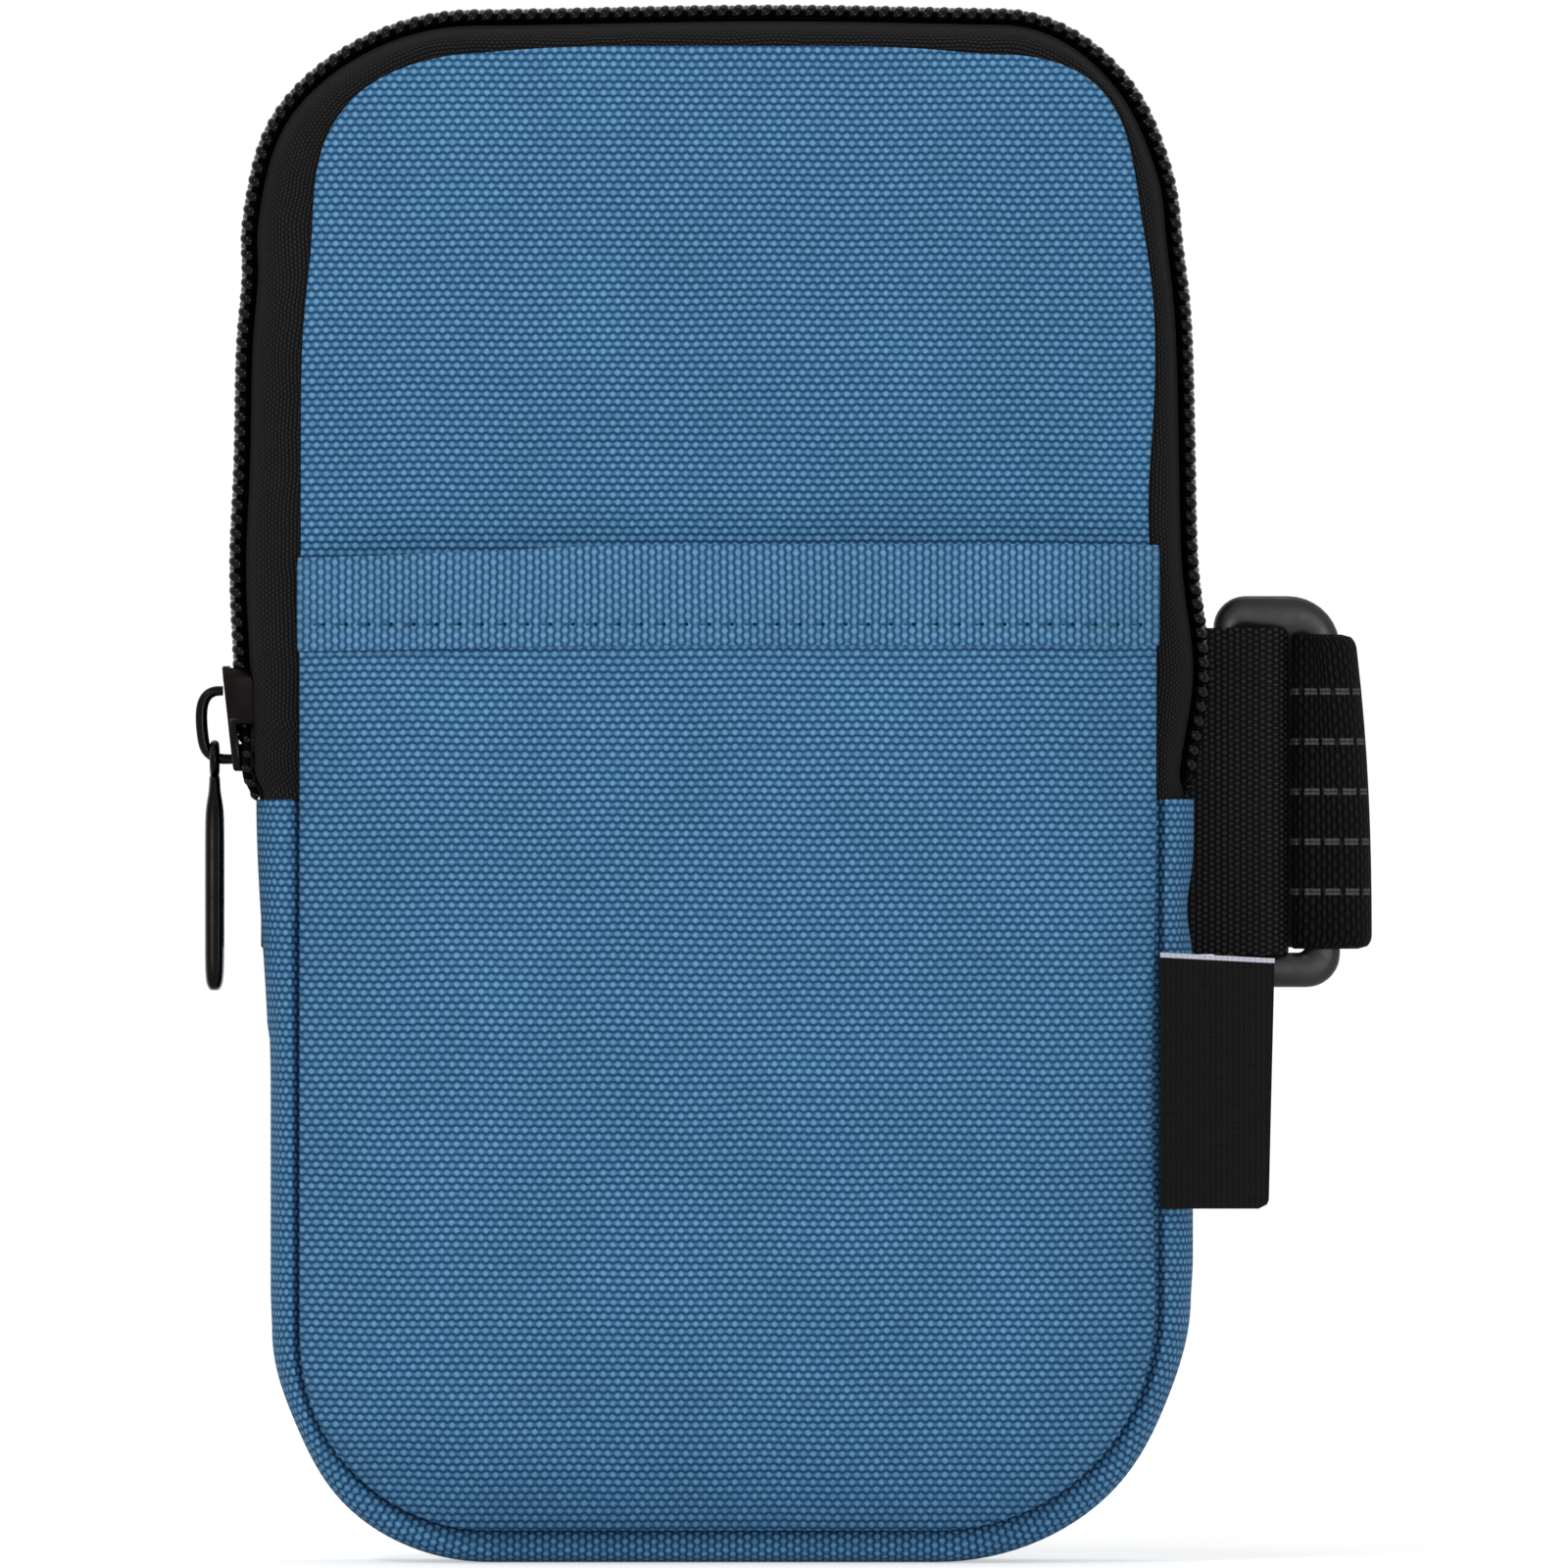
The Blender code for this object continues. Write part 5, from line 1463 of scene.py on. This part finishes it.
class POUCH_OT_pull(bpy.types.Operator):
    """Finish the hanging pull"""

    bl_idname = "pouch.pull"
    bl_label = "Zip pull"

    def execute(self, context):
        low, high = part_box("pull_tab")
        x, reach = (low.x + high.x) / 2, (high.y - low.y) / 2
        thick = (high.x - low.x) / 2
        rings = []
        for down, width, bulk, groove in PULL_RINGS:
            ring = []
            for across, depth in squarish(24, 0.6):
                depth *= 1 - groove * hump(across, 0.0, 0.3)
                notch = groove * 0.33 * hump(depth, 0.0, 0.3) * abs(across) ** 6
                y = reach * width * (across - math.copysign(notch, across))
                ring.append(Vector((x + thick * bulk * depth, y, high.z - down * MM)))
            rings.append(ring)
        mesh = loft(rings)[0]
        metal = [gunmetal("pull_metal")]
        piece("pull_body", mesh, "pull", ["pull_tab"], metal, 1, 60.0)
        eye = []
        for across, up in squarish(28, 1.0):
            eye.append((x, 1.95 * MM * across, high.z - 2.2 * MM + 1.75 * MM * up))
        ring = wire_mesh([eye], 0.56 * MM, 10, closed=True)
        piece("pull_eye", ring, "pull", [], [gunmetal("eye_metal")], smooth=80.0)
        return {"FINISHED"}


# Strap

# Seams in front of and behind the middle, and the buckle's two bars right of its left edge
SEAM_DEPTH = 9.15 * MM
BAR, RIGHT_BAR = 5.7 * MM, 12.2 * MM
# Where the elastic's fold starts to lean in, over which length, and the reach of its corners
FOLD_FROM, FOLD_OVER, FOLD_CORNER = 68.0 * MM, 5.0 * MM, 1.6 * MM


def strap_band(name, path, width, thickness, finishes, nodes, body,
               far_finish=False, lift=0.0):
    """Flat band of even thickness with soft edges that stands on a path seen from above."""
    middle = settings("strap").middle + lift
    half = width / 2
    near = moved_line(path, thickness / 2)
    far = moved_line(path, -thickness / 2)
    edge = [half - inset * MM for inset in (0.3, 0.6, 1.0, 1.5, 2.2)]
    inner = [edge[-1] * (1 - step / 4) for step in range(1, 8)]
    across = [-place for place in edge] + inner[::-1] + edge[::-1]
    count = len(across)
    rings = []
    for one, two in zip(near, far):
        centre = (one + two) / 2
        lip_near, lip_far = centre.lerp(one, 0.6), centre.lerp(two, 0.6)
        ring = [Vector((*one, middle + place)) for place in across]
        ring.append(Vector((*lip_near, middle + half)))
        ring.append(Vector((*lip_far, middle + half)))
        ring += [Vector((*two, middle + place)) for place in reversed(across)]
        ring.append(Vector((*lip_far, middle - half)))
        ring.append(Vector((*lip_near, middle - half)))
        rings.append(ring)
    places = across + [half, half] + across[::-1] + [-half, -half]
    mesh, grown = loft(rings, path_marks(path), places)
    if far_finish:
        turned = {vert for verts in grown for vert in verts[count + 1:2 * count + 3]}
        for face in mesh.faces:
            if all(vert in turned for vert in face.verts):
                face.material_index = 1
    made = piece(name, mesh, body, nodes, finishes, smooth=50.0)
    path_marks(path)[-1]
    return made


def strap_sizes():
    """Places of the strap that follow from the buckle."""
    strap = settings("strap")
    low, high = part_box("slide_buckle")
    y = (low.y + high.y) / 2
    half = (high.y - low.y) / 2
    return {
        "y": y, "half": half, "left": low.x, "bar": low.x + BAR, "right_bar": low.x + RIGHT_BAR,
        "webbing_layer": half + strap.slack + strap.webbing / 2,
        "elastic_layer": half + 0.3 * MM + strap.elastic / 2,
    }


class POUCH_OT_webbing(bpy.types.Operator):
    """Build the webbing that holds the buckle"""

    bl_idname = "pouch.webbing"
    bl_label = "Webbing"

    def execute(self, context):
        strap, cloth, body = settings("strap"), settings("cloth"), settings("body")
        sizes = strap_sizes()
        front = sizes["y"] - sizes["webbing_layer"]
        back = sizes["y"] + sizes["webbing_layer"]
        start = body.right + 0.4 * MM
        path = [(start + step * MM, front) for step in (0.0, 2.2, 4.4)] + [(sizes["left"], front)]
        path += arc(sizes["bar"], sizes["y"], sizes["webbing_layer"], 270, 450, 14)
        path.append((sizes["left"] - 0.3 * MM, back))
        sewn = front + strap.webbing + 0.3 * MM
        path.append((sizes["left"] - 1.6 * MM, (back + sewn) / 2))
        path.append((sizes["left"] - 3.2 * MM, sewn))
        path.append((sizes["left"] - 6.6 * MM, sewn))
        finish = woven_finish(
            "webbing", "marks", 0.365 * MM, 0.745 * MM, cloth.webbing_light, cloth.black_dark,
            0.25 * MM, swap=True, wander=0.25, roughness=0.5, specular=0.06, under=0.1,
        )
        strap_band(
            "webbing_loop", path, strap.webbing_width, strap.webbing, [finish], ["webbing_tab"],
            "pouch", lift=strap.webbing_lift,
        )
        return {"FINISHED"}


class POUCH_OT_buckle(bpy.types.Operator):
    """Finish the slide buckle"""

    bl_idname = "pouch.buckle"
    bl_label = "Slide buckle"

    def execute(self, context):
        low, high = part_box("slide_buckle")
        y, deep = (low.y + high.y) / 2, (high.y - low.y) / 2
        slot_low, slot_high = low.z + 4.1 * MM, high.z - 4.0 * MM
        slot_left, slot_right = low.x + 2.6 * MM, high.x - 4.1 * MM
        rings = []
        for outer_x, outer_z, radius, inner_x, inner_z, start in (
            (low.x, low.z, 4.0, slot_left, slot_low, 180),
            (high.x, low.z, 4.0, slot_right, slot_low, 270),
            (high.x, high.z, 6.2, slot_right, slot_high - 0.9 * MM, 0),
            (low.x, high.z, 3.8, slot_left, slot_high, 90),
        ):
            side_x = -1 if start in (90, 180) else 1
            side_z = -1 if start in (180, 270) else 1
            bend, small = radius * MM, 0.9 * MM
            for turn in range(0, 91, 10):
                angle = math.radians(start + turn)
                spoke = Vector((math.cos(angle), math.sin(angle)))
                outer = Vector((outer_x - side_x * bend, outer_z - side_z * bend)) + spoke * bend
                inner = Vector((inner_x - side_x * small, inner_z - side_z * small)) + spoke * small
                rings.append(self.section(outer, inner, y, deep))
        rings.append(rings[0])
        mesh = loft(rings, closed=True)[0]
        bmesh.ops.remove_doubles(mesh, verts=mesh.verts, dist=0.01 * MM)
        self.finished("buckle_frame", mesh, ["slide_buckle"])
        bar_left, bar_right = slot_left + 1.9 * MM, slot_left + 4.3 * MM
        ends = [slot_low - 1.5 * MM, slot_high + 1.5 * MM]
        bar = Vector(((bar_left + bar_right) / 2, y))
        rings = [
            [Vector((bar.x + 1.2 * MM * across, bar.y + 0.7 * deep * depth, z))
             for across, depth in squarish(20, 0.7)]
            for z in ends
        ]
        self.finished("buckle_bar", loft(rings)[0], [])
        return {"FINISHED"}

    def finished(self, name, mesh, nodes):
        """Piece of the buckle in its plastic."""
        plastic = smooth_finish(name + "_plastic", (31, 31, 32), 0.34, 0.33, grain=0.00001)
        piece(name, mesh, "buckle", nodes, [plastic], smooth=80.0)

    def section(self, outer, inner, y, deep):
        """Section of the frame between a point of its outer and one of its inner outline."""
        middle, spoke = (outer + inner) / 2, (outer - inner) / 2
        points = []
        for across, depth in squarish(20, 0.7):
            place = middle + spoke * across
            points.append(Vector((place.x, y + deep * depth, place.y)))
        return points


class POUCH_OT_elastic(bpy.types.Operator):
    """Build the elastic and its hook and loop patches"""

    bl_idname = "pouch.elastic"
    bl_label = "Elastic strap"

    def execute(self, context):
        strap, cloth, body = settings("strap"), settings("cloth"), settings("body")
        sizes = strap_sizes()
        rear, front = sizes["y"] + sizes["elastic_layer"], sizes["y"] - sizes["elastic_layer"]
        wrap_x = sizes["right_bar"] + sizes["half"] - 1.3 * MM
        seam_x = -body.left - 0.4 * MM
        left_x = seam_x - strap.left_turn - strap.elastic / 2
        span = wrap_x + strap.rise
        centre_x, radius = (left_x + span) / 2, (span - left_x) / 2
        centre_y = rear + strap.rise
        seam_y = SEAM_DEPTH + strap.elastic / 2
        path = [(seam_x, seam_y)]
        turn = strap.left_turn
        path += arc(left_x + turn, seam_y + turn, turn, 270, 180, 8)
        path += arc(centre_x, centre_y, radius, 180, 0, 72)
        path += arc(wrap_x, centre_y, strap.rise, 0, -90, 8)[1:]
        path += arc(wrap_x, sizes["y"], sizes["elastic_layer"], 90, 270, 14)[1:]
        offset = strap.elastic + 2 * strap.patch + 0.9 * MM
        turn_x = span + offset
        path += arc(turn_x - strap.fold, front + strap.fold, strap.fold, 270, 360, 12)
        path += arc(centre_x, centre_y, radius + offset, 0, 44, 24)
        plain = self.finish("elastic_plain", False)
        grip = self.finish("elastic_grip", True)
        elastic = strap_band(
            "elastic_band", path, strap.elastic_width, strap.elastic, [plain, grip],
            ["elastic_strap"], None,
            far_finish=True,
        )
        for vert in elastic.data.vertices:
            up = max((vert.co.z - strap.middle) / strap.elastic_width + 0.5, 0.0)
            off = abs(vert.co.z - strap.middle) - strap.elastic_width / 2 + FOLD_CORNER
            corner = min(max(off / FOLD_CORNER, 0.0), 1.0)
            corner = 1.3 * MM * (1 - math.sqrt(1 - corner ** 2))
            share = eased((vert.co.x - FOLD_FROM) / FOLD_OVER)
            vert.co.x -= (strap.lean * up ** 2.4 + corner) * share
        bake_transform(elastic)
        inner = radius + strap.elastic / 2 + 0.3 * MM + strap.patch / 2
        outer = inner + strap.patch + 0.3 * MM
        for name, patch_radius in (("loop_patch", inner), ("hook_patch", outer)):
            finish = woven_finish(
                name + "_pile", "marks", 0.5 * MM, 0.5 * MM, cloth.black_light, cloth.black_dark,
                0.3 * MM, wander=1.6, roughness=0.95, specular=0.1,
            )
            patch = strap_band(
                name + "_pile", arc(centre_x, centre_y, patch_radius, 8, 36, 16),
                strap.elastic_width - 4.0 * MM, strap.patch, [finish], [name],
                None,
            )
            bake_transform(patch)
        return {"FINISHED"}

    def finish(self, name, grip):
        """Ribbed elastic, with or without its grip lines."""
        strap, cloth = settings("strap"), settings("cloth")
        material, net, shader, spot = new_finish(name, 0.85, 0.06)
        vector = cloth_vector(net, "marks", 0.75 * MM, 0.64 * MM, swap=True)
        weave = net.group(
            weave_effect(), Vector=vector, Light=cloth.black_light, Dark=cloth.black_dark,
            Wander=1.1, Under=0.45,
        )
        shade = toned(net, spot, weave.outputs[0], 80.0, 0.85, 1.1)
        if grip:
            places = cloth_vector(net, "marks", strap.dash_pitch, strap.line_pitch)
            mask = net.group(dash_effect(), Vector=places).outputs[0]
            shade = net.mix(mask, shade, cloth.grip)
        net.feed(shader.inputs["Base Color"], shade)
        bump(net, shader, weave.outputs[1], 0.35 * MM)
        return material


class POUCH_OT_label(bpy.types.Operator):
    """Build the woven label"""

    bl_idname = "pouch.label"
    bl_label = "Woven label"

    def execute(self, context):
        strap, body = settings("strap"), settings("body")
        left = body.right + 0.4 * MM
        low = strap.label_top - strap.label_height
        right = left + strap.label_width
        columns, rows, corner = 16, 60, 1.2 * MM

        def place(column, row):
            z = low + strap.label_height * row / rows
            below = max(low + corner - z, 0.0)
            cut = corner - math.sqrt(max(corner ** 2 - below ** 2, 0.0))
            share = (z - low) / strap.label_height
            x = left + (right - cut - strap.label_slant * (1 - share) - left) * column / columns
            z -= strap.label_slant * share * column / columns
            bend = 0.5 * MM * math.sin((z - low) / strap.label_height * math.pi) * column / columns
            return Vector((x, -SEAM_DEPTH - strap.label + bend, z))

        mesh = grid_mesh(columns, rows, place)
        verts = second_side(mesh)[0]
        bmesh.ops.translate(mesh, verts=verts, vec=(0.0, strap.label, 0.0))
        bmesh.ops.recalc_face_normals(mesh, faces=mesh.faces)
        label = piece(
            "side_label_cloth", mesh, "pouch", ["side_label"], [self.finish()],
        )
        return {"FINISHED"}

    def finish(self):
        """Fine twill with a pale thread line along its top."""
        strap, cloth = settings("strap"), settings("cloth")
        material, net, shader, spot = new_finish("label_twill", 0.7, 0.06)
        vector = cloth_vector(net, "front", 4.0 * MM, 0.34 * MM)
        black = [linear(33)] * 3 + [1.0]
        ribs = net.group(
            chevron_effect(), Vector=vector, Light=black, Dark=cloth.black_dark, Slant=9.0,
        )
        place = net.node("ShaderNodeSeparateXYZ", spot)
        slope = strap.label_slant / strap.label_width
        level = net.math("MULTIPLY_ADD", place.outputs[0], slope, place.outputs[2])
        start = strap.label_top + slope * (settings("body").right + 0.4 * MM) - 0.6 * MM
        line = net.ranged(level, start, start + 0.1 * MM, 0.0, 1.0)
        thread = net.math("MULTIPLY", line, net.math("MULTIPLY_ADD", ribs.outputs[1], 0.8, 0.5))
        net.feed(shader.inputs["Base Color"], net.mix(thread, ribs.outputs[0], cloth.pale))
        bump(net, shader, ribs.outputs[1], 0.05 * MM)
        return material


# Studio

class POUCH_OT_stage(bpy.types.Operator):
    """Set up the floor, the lamps, the room light and the camera"""

    bl_idname = "pouch.stage"
    bl_label = "Studio"

    def execute(self, context):
        studio = settings("studio")
        scene = context.scene
        scene.view_settings.view_transform = "Standard"
        mesh = bmesh.new()
        bmesh.ops.create_grid(mesh, x_segments=4, y_segments=4, size=0.9)
        floor = piece("floor", mesh, None, [], [self.floor_finish()])
        self.room(scene, studio)
        target = Vector((studio.camera_x, 0.0, studio.camera_z))
        for name, place, size, power in (
            ("key_lamp", (-0.75, -1.1, 1.15), 0.24, studio.key),
            ("fill_lamp", (0.45, -1.6, 0.04), 0.6, studio.fill),
            ("top_lamp", (0.1, 0.25, 1.5), 0.5, studio.top),
        ):
            lamp = bpy.data.lights.new(name, "AREA")
            lamp.energy = power
            lamp.size = size
            holder = bpy.data.objects.new(name, lamp)
            scene.collection.objects.link(holder)
            holder.location = place
            holder.rotation_euler = (target - Vector(place)).to_track_quat("-Z", "Y").to_euler()
            holder.visible_camera = False
        camera = bpy.data.cameras.new("camera")
        camera.lens = studio.lens
        camera.sensor_width = 36.0
        away = studio.frame_width * studio.lens / camera.sensor_width
        camera.clip_start = 0.1
        camera.clip_end = 20.0
        holder = bpy.data.objects.new("camera", camera)
        scene.collection.objects.link(holder)
        holder.location = target + Vector((0.0, -away, 0.0))
        holder.rotation_euler = (math.pi / 2, 0.0, 0.0)
        scene.camera = holder
        return {"FINISHED"}

    def floor_finish(self):
        """Pale floor that melts into the white background but keeps the pouch's shadow."""
        material, net, shader, spot = new_finish("pale_floor", 0.9, 0.1)
        pale = (0.86, 0.86, 0.86, 1.0)
        net.feed(shader.inputs["Base Color"], toned(net, spot, pale, 3.0, 0.99, 1.0))
        path = net.node("ShaderNodeLightPath")
        seen = net.math("MAXIMUM", path.outputs["Is Camera Ray"], path.outputs["Is Glossy Ray"])
        glow = net.node("ShaderNodeEmission", (1.0, 1.0, 1.0, 1.0), net.math("MULTIPLY", seen, 0.5))
        mixed = net.node("ShaderNodeAddShader", shader.outputs[0], glow.outputs[0])
        output = material.node_tree.nodes["Material Output"]
        net.feed(output.inputs["Surface"], mixed.outputs[0])
        return material

    def room(self, scene, studio):
        """Even room light behind a plain white background."""
        world = bpy.data.worlds.new("room")
        scene.world = world
        world.use_nodes = True
        net = Wiring(world.node_tree)
        light = world.node_tree.nodes["Background"]
        light.inputs["Color"].default_value = (1.0, 1.0, 1.0, 1.0)
        light.inputs["Strength"].default_value = studio.world
        white = net.node("ShaderNodeBackground", (1.0, 1.0, 1.0, 1.0), 1.0)
        path = net.node("ShaderNodeLightPath")
        seen = net.math("MAXIMUM", path.outputs["Is Camera Ray"], path.outputs["Is Glossy Ray"])
        seen = net.math("MAXIMUM", seen, path.outputs["Is Transmission Ray"])
        mixed = net.node("ShaderNodeMixShader", seen, light.outputs[0], white.outputs[0])
        net.feed(world.node_tree.nodes["World Output"].inputs["Surface"], mixed.outputs[0])


class POUCH_PT_builder(bpy.types.Panel):
    """Buttons that build the pouch piece by piece"""

    bl_idname = "POUCH_PT_builder"
    bl_label = "Zipped Bottle Pouch"
    bl_space_type = "VIEW_3D"
    bl_region_type = "UI"
    bl_category = "Pouch"

    def draw(self, context):
        for operator in OPERATORS:
            self.layout.operator(operator.bl_idname)


GROUPS = {
    "body": PouchBody, "pocket": PouchPocket, "strip": PouchStrip, "zip": PouchZip,
    "strap": PouchStrap, "cloth": PouchCloth, "studio": PouchStudio,
}
OPERATORS = (
    POUCH_OT_pads, POUCH_OT_seam_tapes, POUCH_OT_strip, POUCH_OT_pocket, POUCH_OT_tapes,
    POUCH_OT_coil, POUCH_OT_slider, POUCH_OT_pull, POUCH_OT_webbing, POUCH_OT_buckle,
    POUCH_OT_elastic, POUCH_OT_label, POUCH_OT_stage,
)


def register():
    """Add the settings, operators and panel."""
    for name, group in GROUPS.items():
        bpy.utils.register_class(group)
        setattr(bpy.types.Scene, "pouch_" + name, PointerProperty(type=group))
    for operator in OPERATORS:
        bpy.utils.register_class(operator)
    bpy.utils.register_class(POUCH_PT_builder)


def unregister():
    """Remove the settings, operators and panel."""
    bpy.utils.unregister_class(POUCH_PT_builder)
    for operator in reversed(OPERATORS):
        bpy.utils.unregister_class(operator)
    for name, group in GROUPS.items():
        delattr(bpy.types.Scene, "pouch_" + name)
        bpy.utils.unregister_class(group)


def main():
    """Build the whole pouch."""
    register()
    for operator in OPERATORS:
        group, name = operator.bl_idname.split(".")
        getattr(getattr(bpy.ops, group), name)()


if __name__ == "__main__":
    main()
